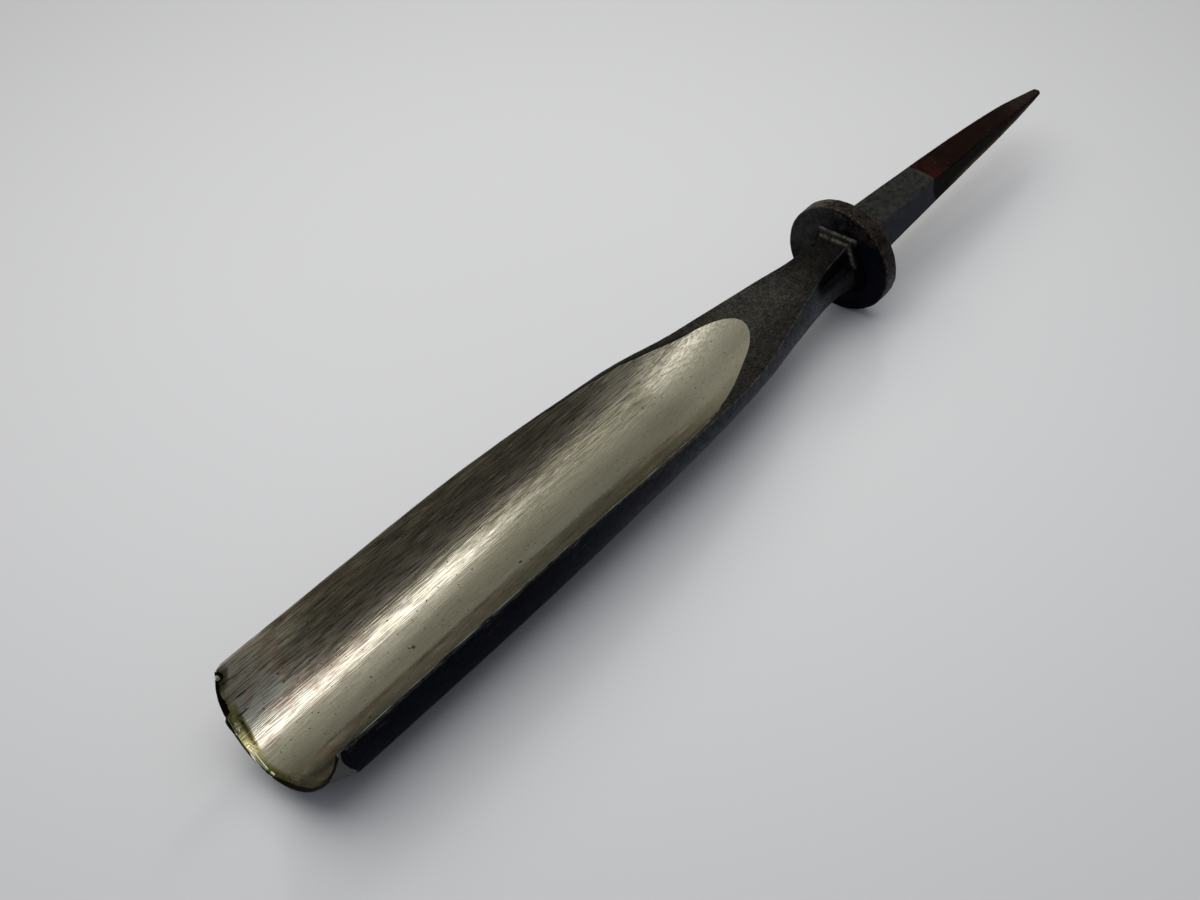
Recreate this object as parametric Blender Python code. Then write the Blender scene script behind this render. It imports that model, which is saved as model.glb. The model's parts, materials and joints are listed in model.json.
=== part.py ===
"""A straight gouge iron: forged blade and tang, bolster collar and the strippable film on its edge.

Lengths are metres and angles degrees. The tool is drawn along X about the tang's axis: x = 0 is the
collar's rear face, where a handle seats, +X runs up the tang and -X to the cutting edge. An empty
then lays the finished tool on its back, so that the blade and the collar both touch z = 0.
"""

import math

import bmesh
import bpy
import numpy as np

# Bolster collar
COLLAR_DIAMETER = 0.0220
COLLAR_THICKNESS = 0.0033
COLLAR_CHAMFER = 0.0003
SEAT_GAP = 0.0003
HOLE_CLEARANCE = 0.0003

# Lengths along the forging, from the collar to the cutting edge
FLARE_LENGTH = 0.0013
NECK_LENGTH = 0.0046
SHANK_LENGTH = 0.0295
SHOULDER_LENGTH = 0.0200
BLADE_LENGTH = 0.0855

# Width of the flat top at each place
PAD_WIDTH = 0.0084
FLARE_WIDTH = 0.0060
WAIST_WIDTH = 0.0064
SHANK_WIDTH = 0.0123
STEP_WIDTH = 0.0187
SHOULDER_WIDTH = 0.02325
BELLY_WIDTH = 0.02545
EDGE_WIDTH = 0.0261

# Height of the flat top above the tang's axis
PAD_TOP = 0.0062
FLARE_TOP = 0.00545
WAIST_TOP = 0.00475
SHANK_TOP = 0.00365
STEP_TOP = 0.00265
SHOULDER_TOP = 0.00465
BELLY_TOP = 0.0072
EDGE_TOP = 0.0071

# Depth of the rounded back below the tang's axis
PAD_BACK = 0.0062
FLARE_BACK = 0.0054
WAIST_BACK = 0.00485
SHANK_BACK = 0.00505
STEP_BACK = 0.00465
SHOULDER_BACK = 0.0073
BELLY_BACK = 0.00935
EDGE_BACK = 0.0086

# Swell of the sides past an elliptical section
PAD_SWELL = 0.0033
FLARE_SWELL = 0.0029
WAIST_SWELL = 0.0024
SHANK_SWELL = 0.00165
STEP_SWELL = 0.00135
SHOULDER_SWELL = 0.0007
BELLY_SWELL = 0.0008
EDGE_SWELL = 0.0008

# Squareness of the section, 2 for an ellipse and more for a squarer back
BLADE_SQUARENESS = 2.0
NECK_SQUARENESS = 2.3
PAD_SQUARENESS = 3.0
TANG_SQUARENESS = 6.0

# Trough, ground along the blade and run out into the shank by the wheel's own curve
TROUGH_RADIUS = 0.0126
TROUGH_DEPTH_AT_EDGE = 0.00525
TROUGH_DEPTH_AT_SHOULDER = 0.0018
WHEEL_RADIUS = 0.100

# Outside bevel, a cone that leaves the cutting edge bowed forward in the middle
BEVEL_ANGLE = 19.0
EDGE_BOW = 0.0023

# Tang
TANG_LENGTH = 0.0697
TANG_ROOT_WIDTH = 0.0085
TANG_MIDDLE_WIDTH = 0.00605
TANG_TIP_WIDTH = 0.0017
TANG_ROOT_TOP = 0.00515
TANG_MIDDLE_TOP = 0.00275
TANG_TIP_TOP = -0.0012
TANG_ROOT_BACK = 0.00495
TANG_MIDDLE_BACK = 0.00325
TANG_TIP_BACK = 0.0021

# Film on the cutting edge, a thin skin folded over both faces
FILM_THICKNESS = 0.0004
FILM_GAP = 0.0003
FILM_INNER_REACH = 0.0013
FILM_OUTER_REACH = 0.0016
FILM_CORNER_REACH = 0.0006
FILM_SPREAD = 87.0

# Fineness of the facets
QUARTER_FACETS = 12
BLADE_RINGS = 40
NECK_RINGS = 4
TANG_RINGS = 9
TROUGH_FACETS = 44
RUNOUT_RINGS = 18
BEVEL_FACETS = 88
COLLAR_FACETS = 72
FILM_RINGS = 45

# Room that a cutter needs past the steel it cuts
CUTTER_MARGIN = 0.004

# Finishes: colour, roughness, metallic value
FORGED_SKIN = ((0.030, 0.028, 0.027), 0.55, 0.70)
GROUND_STEEL = ((0.56, 0.54, 0.49), 0.30, 1.00)
COLLAR_SCALE = ((0.036, 0.030, 0.025), 0.60, 0.70)
AMBER_FILM = ((0.42, 0.36, 0.08), 0.12, 0.00)

# Places along X that follow from the lengths
X_PAD = -(COLLAR_THICKNESS + SEAT_GAP)
X_FLARE = X_PAD - FLARE_LENGTH
X_WAIST = X_FLARE - NECK_LENGTH
X_STEP = X_WAIST - SHANK_LENGTH
X_SHANK = 0.5 * (X_WAIST + X_STEP)
X_SHOULDER = X_STEP - SHOULDER_LENGTH
X_EDGE = X_SHOULDER - BLADE_LENGTH
X_BELLY = 0.5 * (X_SHOULDER + X_EDGE)
X_NOSE = X_EDGE - EDGE_BOW

# The trough's axis and the bevel's axis, level with each other but for the edge's bow
BEVEL_SLOPE = math.tan(math.radians(BEVEL_ANGLE))
TROUGH_SLOPE = (TROUGH_DEPTH_AT_EDGE - TROUGH_DEPTH_AT_SHOULDER) / BLADE_LENGTH
BEVEL_AXIS_HEIGHT = TROUGH_RADIUS - TROUGH_DEPTH_AT_EDGE - EDGE_BOW * BEVEL_SLOPE


def clear_scene():
    """Remove every object that the file opened with."""
    for item in list(bpy.data.objects):
        bpy.data.objects.remove(item, do_unlink=True)


def finish(name, look):
    """A Principled material of one colour, roughness and metallic value."""
    colour, roughness, metallic = look
    material = bpy.data.materials.new(name)
    material.use_nodes = True
    shader = material.node_tree.nodes["Principled BSDF"]
    shader.inputs["Base Color"].default_value = (*colour, 1.0)
    shader.inputs["Roughness"].default_value = roughness
    shader.inputs["Metallic"].default_value = metallic
    return material


def smooth_through(knots, values, place):
    """Value at a place on a smooth curve through the knots that never overshoots them."""
    knots = np.asarray(knots, dtype=float)
    values = np.asarray(values, dtype=float)
    spans = np.diff(knots)
    rises = np.diff(values) / spans
    tangents = np.concatenate([rises[:1], np.zeros(len(knots) - 2), rises[-1:]])
    for i in range(1, len(knots) - 1):
        if rises[i - 1] * rises[i] > 0.0:
            tangents[i] = 2.0 * rises[i - 1] * rises[i] / (rises[i - 1] + rises[i])
    i = int(np.clip(np.searchsorted(knots, place) - 1, 0, len(spans) - 1))
    t = (place - knots[i]) / spans[i]
    start = (1.0 + 2.0 * t) * (1.0 - t) ** 2 * values[i] + t * (1.0 - t) ** 2 * spans[i] * tangents[i]
    end = t * t * (3.0 - 2.0 * t) * values[i + 1] - t * t * (1.0 - t) * spans[i] * tangents[i + 1]
    return float(start + end)


def forged_ring(x, width, top, back, swell, squareness):
    """Section with a flat top and a rounded back, from the right edge of the top round to the left."""
    ring = []
    for step in range(2 * QUARTER_FACETS + 1):
        turn = 0.5 * math.pi * step / QUARTER_FACETS
        side = -1.0 if step < QUARTER_FACETS else 1.0
        across = abs(math.cos(turn)) ** (2.0 / squareness)
        down = abs(math.sin(turn)) ** (2.0 / squareness)
        half = 0.5 * width * across + swell * abs(math.sin(2.0 * turn))
        ring.append((x, side * half, top - (top + back) * down))
    return ring


def loft(name, rings):
    """Closed mesh through rings of equally many points, capped at both ends."""
    builder = bmesh.new()
    loops = [[builder.verts.new(point) for point in ring] for ring in rings]
    for first, second in zip(loops, loops[1:]):
        for i in range(len(first)):
            j = (i + 1) % len(first)
            builder.faces.new((first[i], first[j], second[j], second[i]))
    builder.faces.new(loops[0][::-1])
    builder.faces.new(loops[-1])
    bmesh.ops.recalc_face_normals(builder, faces=builder.faces[:])
    mesh = bpy.data.meshes.new(name)
    builder.to_mesh(mesh)
    builder.free()
    return mesh


def turned_rings(profile, height, facets):
    """Rings for a body turned about an axis along X, from a profile of places and radii."""
    turns = [2.0 * math.pi * (step + 0.5) / facets for step in range(facets)]
    return [
        [(x, radius * math.sin(turn), height - radius * math.cos(turn)) for turn in turns]
        for x, radius in profile
    ]


def add_object(name, mesh, material):
    """Put a mesh in the scene as a named object with its finish."""
    item = bpy.data.objects.new(name, mesh)
    item.data.materials.append(material)
    bpy.context.scene.collection.objects.link(item)
    return item


def shade(item, sharp_angle):
    """Smooth shading, with edges above the given angle left crisp."""
    item.data.shade_smooth()
    item.data.set_sharp_from_angle(angle=math.radians(sharp_angle))


def cut(item, cutter, operation):
    """Boolean on the item, with the cutter's finish on the faces it leaves."""
    cutter.hide_render = True
    cutter.display_type = "WIRE"
    modifier = item.modifiers.new(cutter.name, "BOOLEAN")
    modifier.operation = operation
    modifier.object = cutter
    modifier.solver = "EXACT"
    modifier.material_mode = "TRANSFER"


def blade_section(x):
    """Width, top, back, swell and squareness of the forging between the edge and the flare."""
    knots = (X_EDGE, X_BELLY, X_SHOULDER, X_STEP, X_SHANK, X_WAIST, X_FLARE)
    x = max(x, X_EDGE)
    widths = (EDGE_WIDTH, BELLY_WIDTH, SHOULDER_WIDTH, STEP_WIDTH, SHANK_WIDTH, WAIST_WIDTH, FLARE_WIDTH)
    tops = (EDGE_TOP, BELLY_TOP, SHOULDER_TOP, STEP_TOP, SHANK_TOP, WAIST_TOP, FLARE_TOP)
    backs = (EDGE_BACK, BELLY_BACK, SHOULDER_BACK, STEP_BACK, SHANK_BACK, WAIST_BACK, FLARE_BACK)
    swells = (EDGE_SWELL, BELLY_SWELL, SHOULDER_SWELL, STEP_SWELL, SHANK_SWELL, WAIST_SWELL, FLARE_SWELL)
    width, top, back, swell = (smooth_through(knots, values, x) for values in (widths, tops, backs, swells))
    squareness = smooth_through(
        (X_EDGE, X_SHOULDER, X_WAIST), (BLADE_SQUARENESS, BLADE_SQUARENESS, NECK_SQUARENESS), min(x, X_WAIST))
    return width, top, back, swell, squareness


def tang_section(x, extra=0.0):
    """Width, top, back, swell and squareness of the tang, grown all round by a clearance."""
    knots = (X_PAD, 0.5 * TANG_LENGTH, TANG_LENGTH)
    width = smooth_through(knots, (TANG_ROOT_WIDTH, TANG_MIDDLE_WIDTH, TANG_TIP_WIDTH), x)
    top = smooth_through(knots, (TANG_ROOT_TOP, TANG_MIDDLE_TOP, TANG_TIP_TOP), x)
    back = smooth_through(knots, (TANG_ROOT_BACK, TANG_MIDDLE_BACK, TANG_TIP_BACK), x)
    return width + 2.0 * extra, top + extra, back + extra, 0.0, TANG_SQUARENESS


def trough_floor(x):
    """Height of the trough's floor: a straight rise, then the wheel's curve from the shoulder on."""
    past = x - X_SHOULDER
    return -TROUGH_DEPTH_AT_SHOULDER + TROUGH_SLOPE * past + max(past, 0.0) ** 2 / (2.0 * WHEEL_RADIUS)


def trough_point(x, turn, inset):
    """Point inset from the trough's wall, at a turn from straight down."""
    radius = TROUGH_RADIUS - inset
    return (x, radius * math.sin(turn), trough_floor(x) + TROUGH_RADIUS - radius * math.cos(turn))


def bevel_radius(x):
    """Radius of the bevel's cone."""
    return TROUGH_RADIUS + (x - X_EDGE) * BEVEL_SLOPE


def bevel_point(x, turn, offset):
    """Point off the bevel's cone, at a turn from straight down."""
    radius = bevel_radius(x) + offset / math.cos(math.radians(BEVEL_ANGLE))
    return (x, radius * math.sin(turn), BEVEL_AXIS_HEIGHT - radius * math.cos(turn))


def make_trough_cutter(ground):
    """Swept half-round bar that clears the trough and lifts out through the shank's top."""
    highest = PAD_TOP + CUTTER_MARGIN
    rise = highest + TROUGH_DEPTH_AT_SHOULDER
    runout = WHEEL_RADIUS * (math.sqrt(TROUGH_SLOPE ** 2 + 2.0 * rise / WHEEL_RADIUS) - TROUGH_SLOPE)
    places = [X_NOSE - CUTTER_MARGIN]
    places += [X_SHOULDER + runout * step / RUNOUT_RINGS for step in range(RUNOUT_RINGS + 1)]
    lid = trough_floor(places[-1]) + TROUGH_RADIUS + CUTTER_MARGIN
    rings = []
    for x in places:
        turns = [math.pi * (step / TROUGH_FACETS - 0.5) for step in range(TROUGH_FACETS + 1)]
        ring = [trough_point(x, turn, 0.0) for turn in turns]
        rings.append(ring + [(x, TROUGH_RADIUS, lid), (x, -TROUGH_RADIUS, lid)])
    return add_object("trough_cutter", loft("trough_cutter", rings), ground)


def make_bevel_envelope(ground):
    """Cone that holds what the bevel leaves at the edge, widening past the rest of the forging."""
    widest = 0.5 * EDGE_WIDTH + COLLAR_DIAMETER
    x_front = X_NOSE - CUTTER_MARGIN
    x_full = X_EDGE + (widest - TROUGH_RADIUS) / BEVEL_SLOPE
    x_rear = TANG_LENGTH + CUTTER_MARGIN
    profile = ((x_front, bevel_radius(x_front)), (x_full, widest), (x_rear, widest))
    rings = turned_rings(profile, BEVEL_AXIS_HEIGHT, BEVEL_FACETS)
    return add_object("bevel_envelope", loft("bevel_envelope", rings), ground)


def make_iron():
    """The forging, from the cutting edge through shank, neck and flared pad to the tang's tip."""
    blade = np.linspace(X_NOSE - 0.5 * CUTTER_MARGIN, X_WAIST, BLADE_RINGS + 1)
    neck = np.linspace(X_WAIST, X_FLARE, NECK_RINGS + 1)[1:]
    tang = np.linspace(X_PAD, TANG_LENGTH, TANG_RINGS + 1)
    rings = [forged_ring(x, *blade_section(x)) for x in (*blade, *neck)]
    rings.append(forged_ring(X_PAD, PAD_WIDTH, PAD_TOP, PAD_BACK, PAD_SWELL, PAD_SQUARENESS))
    rings += [forged_ring(x, *tang_section(x)) for x in tang]
    iron = add_object("gouge_iron", loft("gouge_iron", rings), finish("forged_skin", FORGED_SKIN))
    shade(iron, 32.0)
    ground = finish("ground_steel", GROUND_STEEL)
    cutters = (make_trough_cutter(ground), make_bevel_envelope(ground))
    cut(iron, cutters[0], "DIFFERENCE")
    cut(iron, cutters[1], "INTERSECT")
    return iron, cutters


def make_collar():
    """Round collar driven up the tang against the flared pad, with a hole of the tang's own section."""
    radius = 0.5 * COLLAR_DIAMETER
    eased = radius - COLLAR_CHAMFER
    profile = (
        (-COLLAR_THICKNESS, eased), (-COLLAR_THICKNESS + COLLAR_CHAMFER, radius),
        (-COLLAR_CHAMFER, radius), (0.0, eased))
    scale = finish("collar_scale", COLLAR_SCALE)
    rings = turned_rings(profile, 0.0, COLLAR_FACETS)
    collar = add_object("bolster_collar", loft("bolster_collar", rings), scale)
    shade(collar, 30.0)
    hole = tang_section(X_PAD, HOLE_CLEARANCE)
    ends = (-COLLAR_THICKNESS - CUTTER_MARGIN, CUTTER_MARGIN)
    cutter = add_object("tang_hole_cutter", loft("tang_hole_cutter", [forged_ring(x, *hole) for x in ends]), scale)
    cut(collar, cutter, "DIFFERENCE")
    return collar, cutter


def make_film():
    """Skin of dip film folded over the cutting edge, along the trough inside and the bevel outside."""
    near = FILM_GAP
    far = FILM_GAP + FILM_THICKNESS
    rings = []
    for step in range(FILM_RINGS + 1):
        turn = math.radians(FILM_SPREAD) * (2.0 * step / FILM_RINGS - 1.0)
        edge = X_EDGE - EDGE_BOW * math.cos(turn)
        outer_end = edge + FILM_CORNER_REACH + (FILM_OUTER_REACH - FILM_CORNER_REACH) * math.cos(turn)
        rings.append([
            trough_point(edge + FILM_INNER_REACH, turn, near),
            trough_point(edge + FILM_INNER_REACH, turn, far),
            trough_point(edge - near, turn, far),
            trough_point(edge - far, turn, near),
            bevel_point(edge - far, turn, near),
            bevel_point(edge - near, turn, far),
            bevel_point(outer_end, turn, far),
            bevel_point(outer_end, turn, near),
            bevel_point(edge - near, turn, near),
            trough_point(edge - near, turn, near),
        ])
    film = add_object("edge_film", loft("edge_film", rings), finish("amber_film", AMBER_FILM))
    shade(film, 40.0)
    return film


def rest_tilt():
    """Turn about Y that brings the blade's back down to the level of the collar's lowest point."""
    contact = -COLLAR_THICKNESS + COLLAR_CHAMFER
    drop = 0.5 * COLLAR_DIAMETER * math.cos(math.pi / COLLAR_FACETS)
    tilts = []
    for x in np.linspace(X_EDGE, X_SHOULDER, BLADE_RINGS):
        back = blade_section(x)[2]
        tilts.append(math.atan2(back - drop, contact - x))
    return max(tilts)


def lay_on_bench(nodes, helpers):
    """Hang everything on one empty, tilt it to rest and bring the box's lowest middle to the origin."""
    rest = bpy.data.objects.new("rest_on_bench", None)
    bpy.context.scene.collection.objects.link(rest)
    rest.rotation_euler = (0.0, rest_tilt(), 0.0)
    for item in (*nodes, *helpers):
        item.parent = rest
    bpy.context.view_layer.update()
    graph = bpy.context.evaluated_depsgraph_get()
    corners = []
    for item in nodes:
        shape = item.evaluated_get(graph)
        corners += [shape.matrix_world @ vertex.co for vertex in shape.data.vertices]
    low = np.min(corners, axis=0)
    high = np.max(corners, axis=0)
    rest.location = (-0.5 * (low[0] + high[0]), -0.5 * (low[1] + high[1]), -low[2])
    bpy.context.view_layer.update()


def main():
    """Build the three pieces and lay the tool down."""
    clear_scene()
    iron, grinders = make_iron()
    collar, hole = make_collar()
    film = make_film()
    lay_on_bench((iron, collar, film), (*grinders, hole))


main()
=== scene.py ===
"""A straight gouge iron as it lies on a bench: forging skin, ground trough, collar, tang and dip film.

Pieces are drawn in the tool's own frame, in metres: x = 0 is the collar's rear face, where a handle
seats, +X runs up the tang, -X to the cutting edge, and the trough opens to +Z. One matrix, taken
from the record's handle seat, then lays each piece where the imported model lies.
"""

import json
import math

import bmesh
import bpy
import numpy as np
from bpy.props import FloatProperty, FloatVectorProperty, PointerProperty
from mathutils import Euler, Matrix, Vector, noise


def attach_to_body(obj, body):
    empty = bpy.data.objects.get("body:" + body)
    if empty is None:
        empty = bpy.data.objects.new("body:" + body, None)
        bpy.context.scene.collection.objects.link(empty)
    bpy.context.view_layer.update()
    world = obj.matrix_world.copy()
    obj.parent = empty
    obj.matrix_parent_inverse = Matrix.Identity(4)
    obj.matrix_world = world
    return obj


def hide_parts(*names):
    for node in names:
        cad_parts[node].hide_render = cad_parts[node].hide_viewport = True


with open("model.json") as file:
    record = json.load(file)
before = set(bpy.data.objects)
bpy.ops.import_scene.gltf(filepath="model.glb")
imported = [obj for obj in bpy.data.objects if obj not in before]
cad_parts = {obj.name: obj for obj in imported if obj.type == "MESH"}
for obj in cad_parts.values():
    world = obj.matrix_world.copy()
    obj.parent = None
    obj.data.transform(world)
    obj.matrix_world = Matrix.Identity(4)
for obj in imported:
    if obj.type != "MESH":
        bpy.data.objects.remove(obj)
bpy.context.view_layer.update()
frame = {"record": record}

bl_info = {
    "name": "Straight gouge iron",
    "version": (1, 0, 0),
    "blender": (4, 5, 0),
    "location": "View3D > Sidebar > Gouge",
    "description": "Builds the looks of a straight gouge iron around its packed model",
    "category": "Object",
}

# Height of the record's handle seat above the tool's axis
SEAT_HEIGHT = 0.0085

# Columns round one ring of the iron: back, eased corners, rim flats, trough
BACK_STEPS = 96
EASE_STEPS = 3
FLAT_STEPS = 7
TROUGH_STEPS = BACK_STEPS
BEVEL_ROWS = EASE_STEPS + FLAT_STEPS
RING_COLUMNS = BACK_STEPS + TROUGH_STEPS + 2 * BEVEL_ROWS
LEFT_EASE = BACK_STEPS + 1
LEFT_FLAT = LEFT_EASE + EASE_STEPS
TROUGH = LEFT_FLAT + FLAT_STEPS
RIGHT_FLAT = TROUGH + TROUGH_STEPS
RIGHT_EASE = RIGHT_FLAT + FLAT_STEPS
LEFT_RIM = TROUGH - 1
RIGHT_RIM = RIGHT_FLAT - 1
COLUMNS = np.arange(RING_COLUMNS)
TROUGH_SHARES = 1.0 - 2.0 * np.arange(1, TROUGH_STEPS + 1) / TROUGH_STEPS

# Points round the collar; columns of the film and its rows up the trough, round the edge, over the bevel
COLLAR_STEPS = 240
FILM_STEPS = 320
FILM_LEG = 16
FILM_ARC = 7
FILM_TAIL = 6

# Steps that close in on where a surface cuts another
HALVINGS = 44

# Material slots of the iron, and the gloss of its scale
SKIN, GROUND, BEVEL, TANG = range(4)
SCALE_GLOSS = 0.012

# Squareness of the section at edge, shoulder and waist, of the pad and of the tang; 2 is an ellipse
BLADE_SQUARE = (2.0, 2.0, 2.3)
PAD_SQUARE = 3.0
TANG_SQUARE = 6.0

# Where the ground rims end, the gap before the pad's end and the rounding of the tang's tip
RIM_END = -0.053
PAD_GAP = 0.00012
TIP_ROUND = 0.0006

# Waves of the grinding, the hollow beside the neck, and the collar's hammer marks and pits
WAVE_HEIGHT = 0.000006
HOLLOW_DEPTH = 0.0007
HAMMER_HEIGHT = 0.00007
PIT_DEPTH = 0.00005

# The collar's lip: how far out it stands, how much that wanders, and its width
LIP_REACH = 0.0101
LIP_WANDER = 0.0002
LIP_WIDTH = 0.00032

# Height and half the width of the pad's rubbed bars, which are also painted lighter as highlights, and how
# far to the right they turn down its side
BAR_HEIGHT = 0.00012
BAR_WIDTH = 0.00034
BAR_SIDE = -0.0029

# How soon the trough's drift sets in, and what it comes to 20 mm past the shoulder
DRIFT_EASE = 0.004
DRIFT_UNIT = 0.01667

# Dark stains, slits and rust spots in the trough: place and size
PIT_STAINS = (
    ((-0.1175, 0.0002, -0.0042), 0.0005),
    ((-0.118, 0.0007, -0.0042), 0.00036),
)
SLITS = (
    (-0.1438, 0.0095, -0.0009),
    (-0.1425, 0.0109, 0.0011),
)
SLIT_SHAPE = (0.13, 1.0, 1.0)
RUST_SPOTS = (
    ((-0.1405, 0.0088, -0.0016), 0.0003),
    ((-0.141, 0.0083, -0.002), 0.00026),
    ((-0.136, 0.0101, 0.0001), 0.00032),
    ((-0.136, 0.0091, -0.0011), 0.00036),
)

# Painted glints along the film's creases: start and stop of the turn, depth up the trough and its change
# with the turn
PAINTED_GLINTS = (
    (0.01, 0.09, 0.00026, 0.0),
    (0.125, 0.51, 0.00022, 0.0013),
    (0.42, 0.54, 0.00125, -0.004),
    (0.7, 0.76, 0.00055, 0.003),
    (0.79, 0.83, 0.00085, -0.006),
)
BLISTER = (-0.1446, 0.0125, 0.0058)
BLISTER_RADIUS = 0.0008
BLISTER_HEIGHT = 0.00028

# The film's thinnest border, its crumples, its tooth beside the tear and how far its fold bulges aside
FILM_BORDER = 0.00002
CRUMPLE_HEIGHT = 0.0001
TOOTH_REACH = 0.00024
FOLD_SHAPE = 0.62

# The room's light from the right of the tool, over its top, to the left: on matte surfaces, and as gloss
# mirrors it without and with its lamp
ROOM_LEVELS = (
    (0.0, 0.16), (0.12, 0.2), (0.22, 0.25), (0.28, 0.3), (0.33, 0.39), (0.42, 0.62), (0.5, 0.65),
    (0.58, 0.56), (0.64, 0.45), (0.7, 0.37), (0.8, 0.26), (0.88, 0.2), (1.0, 0.13))
GLEAM_LEVELS = (
    (0.0, 0.05), (0.1, 0.06), (0.16, 0.085), (0.21, 0.1), (0.26, 0.16), (0.32, 0.28), (0.37, 0.46),
    (0.42, 0.38), (0.48, 0.37), (0.53, 0.34), (0.58, 0.285), (0.64, 0.235), (0.7, 0.21), (0.75, 0.21),
    (0.8, 0.235), (0.86, 0.26), (0.92, 0.26), (1.0, 0.2))
LAMP_LEVELS = (
    (0.0, 0.0), (0.26, 0.02), (0.31, 0.13), (0.345, 0.3), (0.37, 0.6), (0.4, 0.95), (0.43, 1.0),
    (0.455, 0.55), (0.475, 0.24), (0.53, 0.11), (0.6, 0.06), (0.7, 0.03), (0.8, 0.0))
ROOM_LEVEL = 1.06
LAMP_LEVEL = 1.65

# Slants along the tool between which the lamp hangs
LAMP_FAR = (0.452, 0.434)
LAMP_NEAR = (0.06, 0.31)

# Level of the backdrop against the floor's colour, the floor's drop under the tool and where the lights aim
BACKDROP_LEVEL = 0.72
FLOOR_DROP = 0.00005
LIGHT_AIM = (-0.05, 0.0, 0.01)

# The camera's sensor in millimetres, and the nearest that it sees
SENSOR_WIDTH = 36.0
CLIP_START = 0.01


def setting(name, description, default, **options):
    """One number, or several, that a user may change."""
    if isinstance(default, tuple):
        return FloatVectorProperty(
            name=name, description=description, default=default, size=len(default), **options)
    return FloatProperty(name=name, description=description, default=default, **options)


def length(name, description, default):
    """A length, or several at named places."""
    return setting(name, description, default, unit="LENGTH", precision=5)


def spot(name, description, default):
    """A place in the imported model's frame."""
    return setting(name, description, default, subtype="TRANSLATION", unit="LENGTH", precision=5)


def angle(name, description, degrees):
    """A slope or a turn, given in degrees."""
    return setting(name, description, math.radians(degrees), subtype="ANGLE")


def power(name, description, default):
    """Power of a light."""
    return setting(name, description, default, unit="POWER")


def colour(name, description, default):
    """A scene-linear colour."""
    return setting(name, description, default, subtype="COLOR", min=0.0, max=1.0)


class IronSettings(bpy.types.PropertyGroup):
    """Sizes and colours of the forged iron."""

    places: length(
        "Places", "Edge corner, belly, shoulder, step, shank, waist and flare along the tool",
        (-0.14495, -0.10175, -0.059, -0.039, -0.02425, -0.0095, -0.0049))
    widths: length(
        "Widths", "Width of the flat top at each place",
        (0.0261, 0.02545, 0.02325, 0.0187, 0.0123, 0.0064, 0.006))
    tops: length(
        "Tops", "Height of the flat top at each place",
        (0.0071, 0.0072, 0.00465, 0.00265, 0.00365, 0.00475, 0.00545))
    backs: length(
        "Backs", "Depth of the rounded back at each place",
        (0.0086, 0.00935, 0.0073, 0.00465, 0.00505, 0.00485, 0.0054))
    swells: length(
        "Swells", "Swell of the sides at each place",
        (0.0008, 0.0008, 0.0007, 0.00135, 0.00165, 0.0024, 0.0029))
    pad: length("Pad", "Width, top, back and swell of the flared pad", (0.0084, 0.0062, 0.0062, 0.0033))
    pad_end: length("Pad end", "Place where the flared pad meets the collar", -0.00333)
    trough_radius: length("Trough radius", "Radius of the ground trough", 0.0126)
    trough_depths: length(
        "Trough depths", "Depth of its floor at the edge and the shoulder", (0.00525, 0.0018))
    wheel_radius: length("Wheel radius", "Radius of the wheel that runs the trough out", 0.104)
    runout_drift: length("Run-out drift", "Sideways drift of the trough 20 mm past the shoulder", 0.0011)
    bevel_angle: angle("Bevel angle", "Slope of the outside bevel", 19.0)
    edge_bow: length("Edge bow", "How far the middle of the edge stands forward of its corners", 0.0023)
    corners: length("Corners", "How far the edge's left and right corners are rounded", (0.0006, 0.0009))
    rim_ease: length("Rim ease", "Rounding of the rims of the blade", 0.0001)
    shank_ease: length("Shank ease", "Rounding of the ridges of shank and neck", 0.0001)
    tang_ease: length("Tang ease", "Rounding of the ridges of the tang", 0.00055)
    tang_length: length("Tang length", "Length of the tang past the collar", 0.0697)
    tang_widths: length(
        "Tang widths", "Width of the tang at pad, middle, four fifths and tip",
        (0.0085, 0.00605, 0.0043, 0.0017))
    tang_tops: length(
        "Tang tops", "Height of its top at these places", (0.00515, 0.00275, 0.00085, -0.0012))
    tang_backs: length(
        "Tang backs", "Depth of its back at these places", (0.00495, 0.00325, 0.00255, 0.0021))
    scale_relief: length("Scale relief", "Height of the forging skin's unevenness", 0.00006)
    steel: colour("Ground steel", "Steel of the trough and bevel", (0.6, 0.565, 0.47))
    skin: colour("Forging skin", "Blue-black scale outside the blade", (0.0028, 0.0032, 0.0066))
    skin_brown: colour("Shank scale", "Brown-black scale on the shank's top", (0.033, 0.031, 0.025))
    # Painted reflection of the pale floor: the grey that lies low on the shank's flanks.
    flank_reflection: colour("Flank scale", "Grey scale low on the shank's flanks", (0.098, 0.0985, 0.106))
    tang_grey: colour("Tang scale", "Grey scale of the tang beside the collar", (0.021, 0.0205, 0.018))
    tang_maroon: colour("Tang colour", "Maroon heat colour of the tang", (0.0085, 0.004, 0.0031))


class CollarSettings(bpy.types.PropertyGroup):
    """Sizes and colours of the bolster collar."""

    radius: length("Radius", "Outer radius of the collar", 0.011)
    thickness: length("Thickness", "Thickness of the collar", 0.0033)
    corner: length("Corner", "Rounding of its two edges", 0.00032)
    hole_gap: length("Hole gap", "Gap between its hole and the tang", 0.00006)
    lip: length("Lip", "Height of the ragged lip raised on the upper front edge", 0.00024)
    scale: colour("Scale", "Brown-black scale of the collar", (0.0185, 0.0145, 0.0115))
    rust: colour("Rust", "Rust along its edges", (0.05, 0.026, 0.015))


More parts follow.
